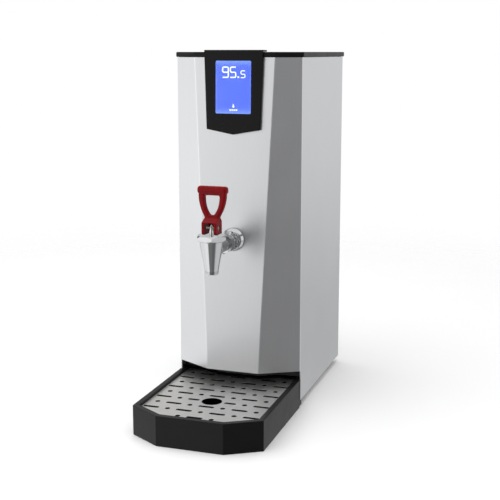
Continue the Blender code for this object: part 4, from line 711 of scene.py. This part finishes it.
cam_radius = 10 * mm
cam_lift = 4.5 * mm
handle_travel = 35 * degree
block_width = 24 * mm
block_front = 11.6 * mm
block_back = 14.2 * mm
block_shoulder = 9.5 * mm
neck_rise = 14.5 * mm
neck_depth = 11 * mm
handle_setback = 4 * mm
handle_lean = 3 * degree
handle_top = 62.8 * mm
bar_width = 48 * mm
bar_height = 12.3 * mm
bar_depth = 13 * mm
loop_depth = 10 * mm
waist_width = 23.6 * mm
hole_width = 23.6 * mm
hole_foot = 18.6 * mm
hole_top = 48.7 * mm
loop_top_share = 0.92
loop_rise_shares = (0.0, 0.12, 0.19, 0.3, 0.435, 0.605, 0.775, 1.0)
loop_spread_shares = (0.0, 0.02, 0.12, 0.39, 0.63, 0.845, 0.96, 1.0)
hole_rise_shares = (0.03, 0.12, 0.27, 0.46, 0.7, 0.9, 0.985, 1.0)
hole_width_shares = (0.2, 0.44, 0.66, 0.84, 0.96, 1.0, 0.94, 0.8)
fork_back = 8.8 * mm
fork_rise = 9 * mm
fork_width = 15.6 * mm
pin_sink = 2.5 * mm
pin_sink_radius = 4.4 * mm
handle_voxel = 0.42 * mm
handle_smoothing = 4


def cam_outline(steps=24):
    points = [(-block_back, -cam_radius)]
    for i in range(steps + 1):
        turn = handle_travel * i / steps
        radius = cam_radius + cam_lift * turn
        points.append((radius * math.sin(turn) + cam_lift * math.cos(turn), -radius * math.cos(turn)
                + cam_lift * math.sin(turn)))
    neck_front = neck_depth / 2 - handle_setback
    return points + [(block_front, points[-1][1] + 1.1 * mm), (block_front, block_shoulder),
        (neck_front, neck_rise), (neck_front - neck_depth, neck_rise), (-block_back, block_shoulder)]


def make_handle():
    """A loop with a bar across its top, on a forked block whose foot is the cam."""
    pivot = Vector((0, tap_y, centre("pivot_pin")[2]))
    block = prism("tap_handle_moulded", cam_outline(), -block_width / 2, block_width / 2,
        axes(pivot, FORWARD, UP))
    rims = block.modifiers.new("rims", "BEVEL")
    rims.width, rims.segments, rims.limit_method, rims.angle_limit = 1.1 * mm, 3, "ANGLE", smooth_angle
    bake(block)
    lean = Vector((0, math.sin(handle_lean), math.cos(handle_lean)))
    upright = axes(pivot + Vector((0, handle_setback, 0)), (1, 0, 0), lean)
    bar_foot = handle_top - bar_height
    loop_top = bar_foot + bar_height / 2
    waist = waist_width / 2
    spread = bar_width / 2 * loop_top_share - waist
    outside = [(waist + spread * wide, block_shoulder + (loop_top - block_shoulder) * rise)
        for wide, rise in zip(loop_spread_shares, loop_rise_shares)]
    gap = [(hole_width / 2 * wide, hole_foot + (hole_top - hole_foot) * rise)
        for wide, rise in zip(hole_width_shares, hole_rise_shares)]
    loop = slab("handle_loop", [mirrored(through(outside, 8)), through(mirrored(gap), 8, ring=True)],
        loop_depth, 2.8 * mm, upright)
    bar_outline = eased(rectangle(bar_width, bar_foot, handle_top), 5.6 * mm, ring=True, steps=12)
    bar = slab("handle_bar", [bar_outline], bar_depth, 4.6 * mm, upright)
    block = combined(block, "UNION", loop, bar)

    fork_outline = [(-fork_back, -cam_radius - overrun), (block_front + overrun, -cam_radius - overrun),
        (block_front + overrun, fork_rise), (-fork_back, fork_rise)]
    fork = prism("handle_fork", eased(fork_outline, 2.2 * mm, ring=True), -fork_width / 2, fork_width / 2,
        axes(pivot, FORWARD, UP))
    wide, floor = block_width / 2 + overrun, block_width / 2 - pin_sink
    half = [(0, wide), (pin_sink_radius, wide), (pin_sink_radius, floor), (pin_radius, floor)]
    pin = lathe("handle_pin_hole", doubled(half), pivot, (1, 0, 0))
    block = combined(block, "DIFFERENCE", fork, pin)
    skin = block.modifiers.new("skin", "REMESH")
    skin.mode, skin.voxel_size = "VOXEL", handle_voxel
    smooth = block.modifiers.new("smooth", "SMOOTH")
    smooth.factor, smooth.iterations = 0.5, handle_smoothing
    bake(block)
    block.data.shade_smooth()
    # The photo's chrome shows no red image of the handle
    block.visible_glossy = False
    fit(block, "tap_handle")


make_flange()
make_lock_nut()
make_tap_body()
make_bonnet()
make_valve()
make_spring()
make_handle()


# Display

face_foot = (0, shift_y, 62 * mm)
face_up = (0, math.sin(face_lean), math.cos(face_lean))
window_foot = 417.8 * mm
figure_foot = window_foot + 55.4 * mm
figure_out = 3.04 * mm
figure_depth = 0.1 * mm
figure_round = 2.4 * mm
nine_path = ((0, 0), (1, 0), (1, 1), (1, 2), (0, 2), (0, 1), (1, 1))
five_path = ((0, 0), (1, 0), (1, 1), (0, 1), (0, 2), (1, 2))
# Each figure: its path, its left edge, width and height, and its line's width
figures = ((nine_path, -19 * mm, 11.4 * mm, 17.8 * mm, 1.95 * mm),
    (five_path, -6.1 * mm, 10.8 * mm, 17.8 * mm, 1.95 * mm),
    (five_path, 11.5 * mm, 8.2 * mm, 12 * mm, 1.5 * mm))
point_size = 2.8 * mm
point_left = 6.6 * mm
drop_foot = window_foot + 12.6 * mm
drop_half_height = 3.2 * mm
drop_width = 2.3 * mm
level_foot = window_foot + 4.6 * mm
level_block = (2.6 * mm, 2.4 * mm)
level_blocks = 4
level_pitch = 3.5 * mm


def ribbon(points, width):
    """The outline of an even line through the points."""
    left, right = [], []
    for i, point in enumerate(points):
        ahead = (points[min(i + 1, len(points) - 1)] - points[max(i - 1, 0)]).normalized()
        side = Vector((-ahead.y, ahead.x)) * width / 2
        left.append(point + side)
        right.append(point - side)
    return left + right[::-1]


def box_outline(left, foot, width, height):
    return [(left, foot), (left + width, foot), (left + width, foot + height), (left, foot + height)]


def make_figures():
    """A temperature, a drop and a level bar, lit white on the blue panel."""
    shapes = [box_outline(point_left, figure_foot, point_size, point_size)]
    for path, left, wide, tall, line in figures:
        line_path = [
            Vector((left + line / 2 + x * (wide - line), figure_foot + line / 2 + y * (tall - line) / 2))
            for x, y in path]
        shapes.append(ribbon(eased(line_path, figure_round, steps=6), line))
    shapes.append([(drop_width * math.sin(turn) * math.sin(turn / 2) ** 1.6,
            drop_foot + drop_half_height * math.cos(turn)) for turn in even_turns(small_steps)])
    for i in range(level_blocks):
        left = (i - (level_blocks - 1) / 2) * level_pitch - level_block[0] / 2
        shapes.append(box_outline(left, level_foot, *level_block))
    work = bmesh.new()
    for shape in shapes:
        part = prism("figure", shape, figure_out, figure_out + figure_depth,
            axes(face_foot, (1, 0, 0), face_up))
        work.from_mesh(part.data)
        bpy.data.objects.remove(part)
    dress(finished_mesh("display_figures", work), "display_glass", material=display_white)


make_figures()


# Drip grid

grid_corners = in_mm((50.4, -181.8), (95.3, -154.3), (95.3, 48.0), (64.6, 47.0), (35.9, 31.0))
column_pitch = 26.7 * mm
row_pitch = 24.5 * mm
drain_y = -96 * mm
slot_length = 25.5 * mm
slot_width = 6.6 * mm
dot_radius = 3.9 * mm
drain_radius = 15.8 * mm
# Half the height of the solid's slots and dots: a hole is made where those keep clear of the edge
slot_half_height = 2.2 * mm
dot_half_height = 3.2 * mm
edge_margin = 2.2 * mm
short_slot_start = 20.3 * mm
short_slot_end = column_pitch + slot_length / 2
short_slot_length = short_slot_end - short_slot_start
plate_edge = 0.15 * mm


def inside(point, outline):
    """Whether a point lies inside a closed outline."""
    x, y = point
    hit = False
    for (ax, ay), (bx, by) in zip(outline, outline[1:] + outline[:1]):
        if (ay > y) != (by > y) and x < ax + (bx - ax) * (y - ay) / (by - ay):
            hit = not hit
    return hit


def grid_places(outline):
    """The holes' places and kinds: 1 a slot, 2 a short one beside the drain, 3 a dot, 4 the drain."""
    places = [((0, drain_y), 4)]
    for row in range(-8, 9):
        for column in range(-4, 5):
            x, y = column * column_pitch, drain_y + row * row_pitch
            kind = 3 if (row + column) % 2 == 0 else 1
            reach, rise = (dot_half_height,) * 2 if kind == 3 else (slot_length / 2, slot_half_height)
            if row == 0 and column == 0:
                continue
            if row == 0 and abs(column) == 1:
                kind = 2
                x = math.copysign((short_slot_start + short_slot_end) / 2, column)
                reach = short_slot_length / 2
            corners = [(x + a * (reach + edge_margin), y + b * (rise + edge_margin)) for a in (-1, 1)
                for b in (-1, 1)]
            if all(inside(corner, outline) for corner in corners):
                places.append(((x, y), kind))
    return places


def make_grid():
    """The slotted plate: a sheet on the grid's outline with every hole cut through it."""
    outline = mirrored(grid_corners)
    places = grid_places(outline)
    base = bpy.data.meshes.new("grid_base")
    count = len(outline)
    base.from_pydata([(x, y + shift_y, 0) for x, y in outline + [place for place, kind in places]],
        [(i, (i + 1) % count) for i in range(count)], [])
    kinds = base.attributes.new("kind", "INT", "POINT")
    kinds.data.foreach_set("value", [0] * count + [kind for place, kind in places])
    low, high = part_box("drip_grid")
    sizes = {"Sheet": high.z - low.z, "Foot": low.z, "Slot length": slot_length, "Slot width": slot_width,
        "Short length": short_slot_length, "Dot radius": dot_radius, "Drain radius": drain_radius}

    def build(tree, start):
        base_shape = start.outputs["Geometry"]
        kind = out(tree, "GeometryNodeInputNamedAttribute", {"Name": "kind"}, data_type="INT")

        def chosen(number):
            return out(tree, "FunctionNodeCompare", {2: kind, 3: number}, data_type="INT",
                operation="EQUAL")

        def slot_curve(length):
            quad = add_node(tree, "GeometryNodeCurvePrimitiveQuadrilateral",
                {"Width": start.outputs[length], "Height": start.outputs["Slot width"]})
            half_width = maths(tree, "MULTIPLY", start.outputs["Slot width"], 0.499)
            return out(tree, "GeometryNodeFilletCurve", {"Curve": quad.outputs[0], "Count": 6,
                    "Radius": half_width}, mode="POLY")

        def round_curve(radius, steps):
            return out(tree, "GeometryNodeCurvePrimitiveCircle",
                {"Resolution": steps, "Radius": start.outputs[radius]})

        edge = out(tree, "GeometryNodeMeshToCurve", {"Mesh": base_shape, "Selection": chosen(0)})
        together = add_node(tree, "GeometryNodeJoinGeometry", {0: edge})
        for number, shape in ((1, slot_curve("Slot length")), (2, slot_curve("Short length")),
                (3, round_curve("Dot radius", 20)), (4, round_curve("Drain radius", 72))):
            holes = out(tree, "GeometryNodeInstanceOnPoints",
                {"Points": base_shape, "Selection": chosen(number), "Instance": shape})
            tree.links.new(holes, together.inputs[0])
        lines = out(tree, "GeometryNodeRealizeInstances", {"Geometry": together.outputs[0]})
        sheet = out(tree, "GeometryNodeFillCurve", {"Curve": lines}, mode="NGONS")
        top = out(tree, "GeometryNodeExtrudeMesh", {"Mesh": sheet, "Offset Scale": start.outputs["Sheet"],
                "Individual": False}, mode="FACES")
        under = out(tree, "GeometryNodeFlipFaces", {"Mesh": sheet})
        plate = add_node(tree, "GeometryNodeJoinGeometry", {0: top})
        tree.links.new(under, plate.inputs[0])
        foot = out(tree, "ShaderNodeCombineXYZ", {2: start.outputs["Foot"]})
        return out(tree, "GeometryNodeTransform", {"Geometry": plate.outputs[0], "Translation": foot})

    plate = grown("drip_grid_plate", base, build, grid_steel, sizes)
    fit(soften(plate, plate_edge, 1, 40 * degree), "drip_grid", material=grid_steel)


make_grid()


# Fasteners, louvres, feet and fittings

back_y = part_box("back_panel")[1].y
turned_back = (-90 * degree, 0, 0)
even = (1, 1, 1)
screw_side = 97.5 * mm
screw_heights = (42.3 * mm, 289.65 * mm, 537 * mm)
hood_side = 32 * mm
hood_top = 497 * mm
hood_pitch = 13 * mm
hood_rows = 8
hood_length, hood_height, hood_depth = 36 * mm, 6 * mm, 2.4 * mm
hood_wall = 0.5 * mm
thread_pitch = 1.8 * mm
thread_radius = 13.1 * mm
thread_depth = 0.9 * mm
inlet_reach = 16 * mm
panel_inside = -1.5 * mm
inlet_length = 37.5 * mm
inlet_bore_depth = 18 * mm
gland_foot, gland_shoulder = 0.3 * mm, 8.3 * mm
gland_corner = 24 * mm / math.sqrt(3)
gland_grooves = 12
switch_height = 112 * mm
rocker_inset = 0.7 * mm
rocker_tilt = 8 * degree
rocker_crown = 5.16 * mm
mark_offset = 3.9 * mm
mark_sink, mark_rise = -0.2 * mm, 0.05 * mm
stud_circle = 87.9 * mm
stud_count = 8
jacket_wall = 13 * mm
jacket_bands = (0.18, 0.5, 0.9)
band_spread = 0.02
band_pull = 1.7 * mm
end_pull = 2.2 * mm
jacket_steps = 120
jacket_hole = 14.4 * mm


def scattered(name, unit, places, node, like=None):
    """Copies of a unit shape, set on points and dressed. Each place is a point, a turn and a scale."""
    base = bpy.data.meshes.new(name + "_points")
    base.from_pydata([at for at, turn, scale in places], [], [])
    for position, label in ((1, "turn"), (2, "scale")):
        values = base.attributes.new(label, "FLOAT_VECTOR", "POINT")
        values.data.foreach_set("vector", [value for place in places for value in place[position]])

    def build(tree, start):
        shape = out(tree, "GeometryNodeObjectInfo", {"Object": unit}, socket="Geometry")
        turn, scale = (out(tree, "GeometryNodeInputNamedAttribute", {"Name": label},
                data_type="FLOAT_VECTOR") for label in ("turn", "scale"))
        return out(tree, "GeometryNodeInstanceOnPoints",
            {"Points": start.outputs["Geometry"], "Instance": shape, "Rotation": turn, "Scale": scale})

    copies = grown(name, base, build, finish_of_slot[slot_of[like or node]])
    bpy.data.objects.remove(unit)
    dress(soften(copies), node, like)


def pan_head():
    """A pan-head screw with a cross recess, which stands on its shank."""
    profile = in_mm((0, 2), (2, 1.9), (3.3, 1.2), (3.5, 0.05), (1.7, 0.05), (1.7, -6), (0, -6))
    head = lathe("pan_head", eased(profile, 0.25 * mm, steps=2), (0, 0, 0), steps=32)
    bars = [prism("recess", rectangle(wide, -tall / 2, tall / 2), 0.9 * mm, 3 * mm)
        for wide, tall in ((3.6 * mm, 0.8 * mm), (0.8 * mm, 3.6 * mm))]
    return combined(head, "DIFFERENCE", *bars)


def louvre_hood(across=24, around=8):
    """A pressed hood: a curved lip over a slot, closed at both ends, which stands out from the sheet."""
    work = bmesh.new()
    rows = []
    for i in range(across + 1):
        u = 2 * i / across - 1
        swell = (1 - abs(u) ** 6) ** 0.5
        rows.append(
            [work.verts.new((u * hood_length / 2, hood_height * (0.5 - v * swell),
                    hood_depth * swell * math.sin(v * math.pi / 2)))
                for v in (j / around for j in range(around + 1))])
    for first, second in zip(rows, rows[1:]):
        for j in range(around):
            work.faces.new((first[j], second[j], second[j + 1], first[j + 1]))
    bmesh.ops.remove_doubles(work, verts=work.verts, dist=merge_distance)
    hood = finished_mesh("louvre_hood", work)
    wall = hood.modifiers.new("wall", "SOLIDIFY")
    wall.thickness, wall.offset = hood_wall, 0
    return bake(hood)


def make_back_details():
    screws = [((side * screw_side, back_y, z), (-90 * degree, 0, 0.6 * side * i), even) for side in (-1, 1)
        for i, z in enumerate(screw_heights)]
    scattered("back_panel_screws", pan_head(), screws, "back_panel", "foot_screw_rear_left")
    hoods = [((side * hood_side, back_y + hood_wall / 2, hood_top - row * hood_pitch), turned_back, even)
        for side in (-1, 1) for row in range(hood_rows)]
    scattered("back_louvre_hoods", louvre_hood(), hoods, "back_panel")


def make_feet():
    """Tapered rubber feet with a ring moulded round each."""
    for corner in ("front_left", "front_right", "rear_left", "rear_right"):
        x, y, z = centre("foot_" + corner)
        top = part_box("foot_" + corner)[1].z
        profile = [(2.9 * mm, top), (13 * mm, top), *in_mm((12.7, 8.4), (12.1, 8), (12.3, 7.2), (11, 0),
                (6, 0), (6, 5), (2.9, 5))]
        foot = lathe("foot_moulded_" + corner, eased(profile, 0.6 * mm, ring=True), (x, y, 0), ring=True,
            steps=64)
        fit(soften(foot), "foot_" + corner)


def make_fill_valve():
    """The inlet: a threaded port outside the panel, a flange and the valve's body inside it."""
    root, wall = thread_radius - thread_depth, panel_inside - 3.5 * mm
    back, deepest = panel_inside - inlet_length, panel_inside - inlet_length - inlet_bore_depth
    height = inlet_reach - 1.2 * mm
    profile = [(0, 4 * mm), (9 * mm, 4 * mm), (9 * mm, inlet_reach - 0.4 * mm), (9.4 * mm, inlet_reach),
        (thread_radius - 1.2 * mm, inlet_reach)]
    while height > panel_inside + thread_pitch:
        profile += [(thread_radius, height - 0.35 * mm), (thread_radius, height - 0.55 * mm),
            (root, height - 1.35 * mm), (root, height - 1.5 * mm)]
        height -= thread_pitch
    profile += [(root, panel_inside), (18 * mm, panel_inside), (18 * mm, wall), (12.5 * mm, wall),
        (12.5 * mm, back), (5.4 * mm, back), (5.4 * mm, deepest), (3.8 * mm, deepest), (3.8 * mm, back),
        (0, back)]
    at = (centre("fill_valve")[0], back_y, centre("inlet_nut")[2])
    fit(soften(lathe("fill_valve_moulded", profile, at, BACKWARD)), "fill_valve")


def make_gland():
    """The cable gland: a six-sided foot and a grooved cap that closes on the cord."""
    x, y, z = centre("cable_gland")
    at = (x, back_y, z)
    nut = prism("cable_gland_moulded", circle(gland_corner, 6, turn=math.pi / 2), gland_foot,
        gland_shoulder, axes(at, (-1, 0, 0), UP))
    chamfer = lathe("gland_chamfer", [(0, gland_shoulder), (gland_corner - 1.8 * mm, gland_shoulder),
            (gland_corner, gland_shoulder - mm), (gland_corner, gland_foot), (0, gland_foot)], at, BACKWARD)
    nut = combined(nut, "INTERSECT", chamfer)
    profile = in_mm((0, 21), (8, 21), (11.7, 12.2), (11.7, 6), (9.6, 6), (9.6, -14), (0, -14))
    cap = lathe("gland_cap", eased(profile, 1.2 * mm), at, BACKWARD)
    cuts = grooves(gland_grooves, at, BACKWARD, (10.9 * mm, 14 * mm), mm, (9.4 * mm, 22 * mm))
    bore = rod(4.2 * mm, -20 * mm, 25 * mm, at, BACKWARD)
    fit(soften(combined(combined(nut, "UNION", cap), "DIFFERENCE", bore, *cuts)), "cable_gland")


def make_grommet():
    x, y, z = centre("overflow_grommet")
    profile = in_mm((6.3, 3.3), (7.4, 3.3), (11, 1.8), (11, 0.3), (6.3, 0.3))
    grommet = lathe("overflow_grommet_moulded", eased(profile, 0.7 * mm, ring=True), (x, back_y, z),
        BACKWARD, ring=True, steps=64)
    fit(soften(grommet), "overflow_grommet")


def make_switch_marks():
    """The bar and the ring that a rocker switch carries, on its two flats: the bar's side is pressed."""
    ridge = Vector((centre("switch_rocker")[0], back_y - rocker_inset
            + rocker_crown * math.cos(rocker_tilt), switch_height + rocker_crown * math.sin(rocker_tilt)))
    bar = prism("switch_on_mark", rectangle(0.9 * mm, -2 * mm, 2 * mm), mark_sink, mark_rise,
        axes(ridge + Vector((0, 0, mark_offset)), (-1, 0, 0), UP))
    down = Vector((0, math.sin(2 * rocker_tilt), -math.cos(2 * rocker_tilt)))
    outward = Vector((0, math.cos(2 * rocker_tilt), math.sin(2 * rocker_tilt)))
    ring = lathe("switch_off_mark", [(2 * mm, mark_sink), (2 * mm, mark_rise), (1.35 * mm, mark_rise),
            (1.35 * mm, mark_sink)], ridge + down * mark_offset, outward, ring=True, steps=small_steps)
    for mark in (bar, ring):
        dress(soften(mark), "switch_rocker", "fill_valve")


def make_tank_nuts():
    """Hexagon nuts on the studs round the tank's lid, each over a washer."""
    nut = prism("stud_nut", circle(3.7 * mm, 6), 0.6 * mm, 3.2 * mm)
    crown = lathe("nut_chamfer", in_mm((0, 3.2), (3.1, 3.2), (3.8, 2.8), (3.8, 0), (0, 0)), (0, 0, 0),
        steps=36)
    nut = combined(combined(nut, "INTERSECT", crown), "UNION", rod(4.4 * mm, 0, 0.7 * mm, steps=36))
    x, y, z = centre("tank_lid")
    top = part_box("tank_lid")[1].z
    turns = [(i + 0.5) * math.tau / stud_count for i in range(stud_count)]
    places = [((x + stud_circle * math.cos(turn), y + stud_circle * math.sin(turn), top), (0, 0, 0.4 * i),
            even) for i, turn in enumerate(turns)]
    scattered("tank_stud_nuts", nut, places, "tank", "foot_screw_rear_left")


def make_jacket():
    """Felt round the tank, drawn in by bands, with a hole for the tap's tail."""
    low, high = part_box("insulation_jacket")
    x, y, z = centre("insulation_jacket")
    radius, tall = (high.x - low.x) / 2, high.z - low.z
    outside = []
    for share in (i / jacket_steps for i in range(jacket_steps + 1)):
        pull = sum(math.exp(-((share - band) / band_spread) ** 2) for band in jacket_bands)
        ends = abs(2 * share - 1) ** 24
        outside.append((radius - band_pull * pull - end_pull * ends, low.z + tall * share))
    bore = radius - jacket_wall
    jacket = lathe("insulation_felt", [(bore, low.z), *outside, (bore, high.z)], (x, y, 0), ring=True)
    hole = rod(jacket_hole, 0, 120 * mm, (0, y, tap_height), FORWARD)
    fit(soften(combined(jacket, "DIFFERENCE", hole)), "insulation_jacket")
    for i, share in enumerate(jacket_bands):
        foot, top = (low.z + tall * share + side * 5 * mm for side in (-1, 1))
        inner, outer = radius - 1.9 * mm, radius - 0.5 * mm
        band = lathe(f"jacket_band_{i}", eased([(inner, foot), (outer, foot), (outer, top), (inner, top)],
                0.4 * mm, ring=True), (x, y, 0), ring=True)
        dress(soften(band), "insulation_jacket", "level_probe_holder")


make_back_details()
make_feet()
make_fill_valve()
make_gland()
make_grommet()
make_switch_marks()
make_tank_nuts()
make_jacket()


# Studio: floor, light and camera

floor_width = 4.0
studio_base = 0.80
# Walls of the studio as the polished faces see them: azimuth from the front towards the right, half-width
# and softness in degrees, brightness, and the share of it that is left above eye level
studio_walls = ((-85, 48, 22, 1.42, 0.68), (-32, 24, 10, 1.56, 1.0), (6, 20, 7, 0.30, 1.0),
    (46, 22, 10, 0.22, 1.0), (112, 38, 22, 1.0, 1.0), (168, 24, 20, 0.78, 1.0))
# Height at which a band starts and where it is full, and its brightness: a dark cornice over the walls
# and a pale ceiling give the chrome its lines
studio_tops = ((0.30, 0.42, 0.22), (0.52, 0.62, 0.95))
camera_yaw = 18.522 * degree
camera_pitch = 9.807 * degree
camera_place = (0.52484, -1.54295, 0.57492)
camera_lens = 72
camera_sensor = 36
camera_shift = -0.05


def make_floor():
    """A pale floor that fades out before its edge shows."""
    work = bmesh.new()
    bmesh.ops.create_circle(work, cap_ends=True, radius=floor_width / 2, segments=round_steps)
    floor = finished_mesh("studio_floor", work)
    material, tree, shader = new_material("pale_studio_floor")
    shader.inputs["Base Color"].default_value = colour("#f4f4f4")
    shader.inputs["Roughness"].default_value = 0.6
    place = out(tree, "ShaderNodeTexCoord", socket="Object")
    away = out(tree, "ShaderNodeVectorMath", {0: place}, operation="LENGTH", socket="Value")
    fade = ranged(tree, away, floor_width * 0.15, floor_width * 0.45, 1.0, 0.0, smooth=True)
    tree.links.new(fade, shader.inputs["Alpha"])
    floor.data.materials.append(material)
    floor.visible_glossy = False


def make_world():
    """White to the camera; to the object, a room with soft walls of unlike brightness."""
    world = bpy.data.worlds.new("studio")
    bpy.context.scene.world = world
    world.use_nodes = True
    tree = world.node_tree
    tree.nodes.clear()
    direction = out(tree, "ShaderNodeTexCoord", socket="Generated")
    flat = out(tree, "ShaderNodeVectorMath", {0: direction, 1: (1, 1, 0)}, operation="MULTIPLY")
    around = out(tree, "ShaderNodeVectorMath", {0: flat}, operation="NORMALIZE")
    height = out(tree, "ShaderNodeSeparateXYZ", {0: direction}, socket="Z")
    light = studio_base
    for azimuth, half_width, softness, brightness, top_share in studio_walls:
        turn = azimuth * degree
        facing = out(tree, "ShaderNodeVectorMath", {0: around, 1: (math.sin(turn), -math.cos(turn), 0)},
            operation="DOT_PRODUCT", socket="Value")
        share = ranged(tree, facing, math.cos((half_width + softness) * degree),
            math.cos(max(half_width - softness, 0) * degree), smooth=True)
        wall = ranged(tree, height, -0.16, 0.0, brightness, brightness * top_share)
        light = blended(tree, light, wall, share)
    # The walls darken towards the floor, which is lit again in front of the object
    lower = ranged(tree, height, -0.30, -0.08, 0.50, 1.0, smooth=True)
    table = ranged(tree, height, -0.24, -0.38, 0.0, 0.26, smooth=True)
    light = maths(tree, "MULTIPLY", light, maths(tree, "ADD", lower, table))
    for low, high, brightness in studio_tops:
        light = blended(tree, light, brightness, ranged(tree, height, low, high, smooth=True))
    seen = out(tree, "ShaderNodeLightPath", socket="Is Camera Ray")
    background = out(tree, "ShaderNodeBackground",
        {"Color": (1, 1, 1, 1), "Strength": blended(tree, light, 1.0, seen)})
    add_node(tree, "ShaderNodeOutputWorld", {"Surface": background})


def make_light(name, at, aim, width, height, power):
    lamp = bpy.data.lights.new(name, "AREA")
    lamp.shape, lamp.size, lamp.size_y, lamp.energy = "RECTANGLE", width, height, power
    holder = new_piece(name, lamp)
    holder.location = at
    holder.rotation_euler = (Vector(aim) - Vector(at)).to_track_quat("-Z", "Y").to_euler()
    holder.visible_glossy = False


def make_camera():
    """The photograph's viewpoint: to the right of the front and just above the lid."""
    lens = bpy.data.cameras.new("viewpoint")
    lens.lens, lens.sensor_width, lens.shift_y = camera_lens, camera_sensor, camera_shift
    camera = new_piece("viewpoint", lens)
    camera.location = camera_place
    ahead = Vector((-math.sin(camera_yaw) * math.cos(camera_pitch),
            math.cos(camera_yaw) * math.cos(camera_pitch), -math.sin(camera_pitch)))
    camera.rotation_euler = ahead.to_track_quat("-Z", "Y").to_euler()
    bpy.context.scene.camera = camera


make_floor()
make_world()
make_light("overhead_softbox", (-0.3, -0.3, 1.9), (0, 0, 0.2), 2.4, 2.4, 30)
make_camera()
bpy.context.scene.view_settings.view_transform = "Standard"
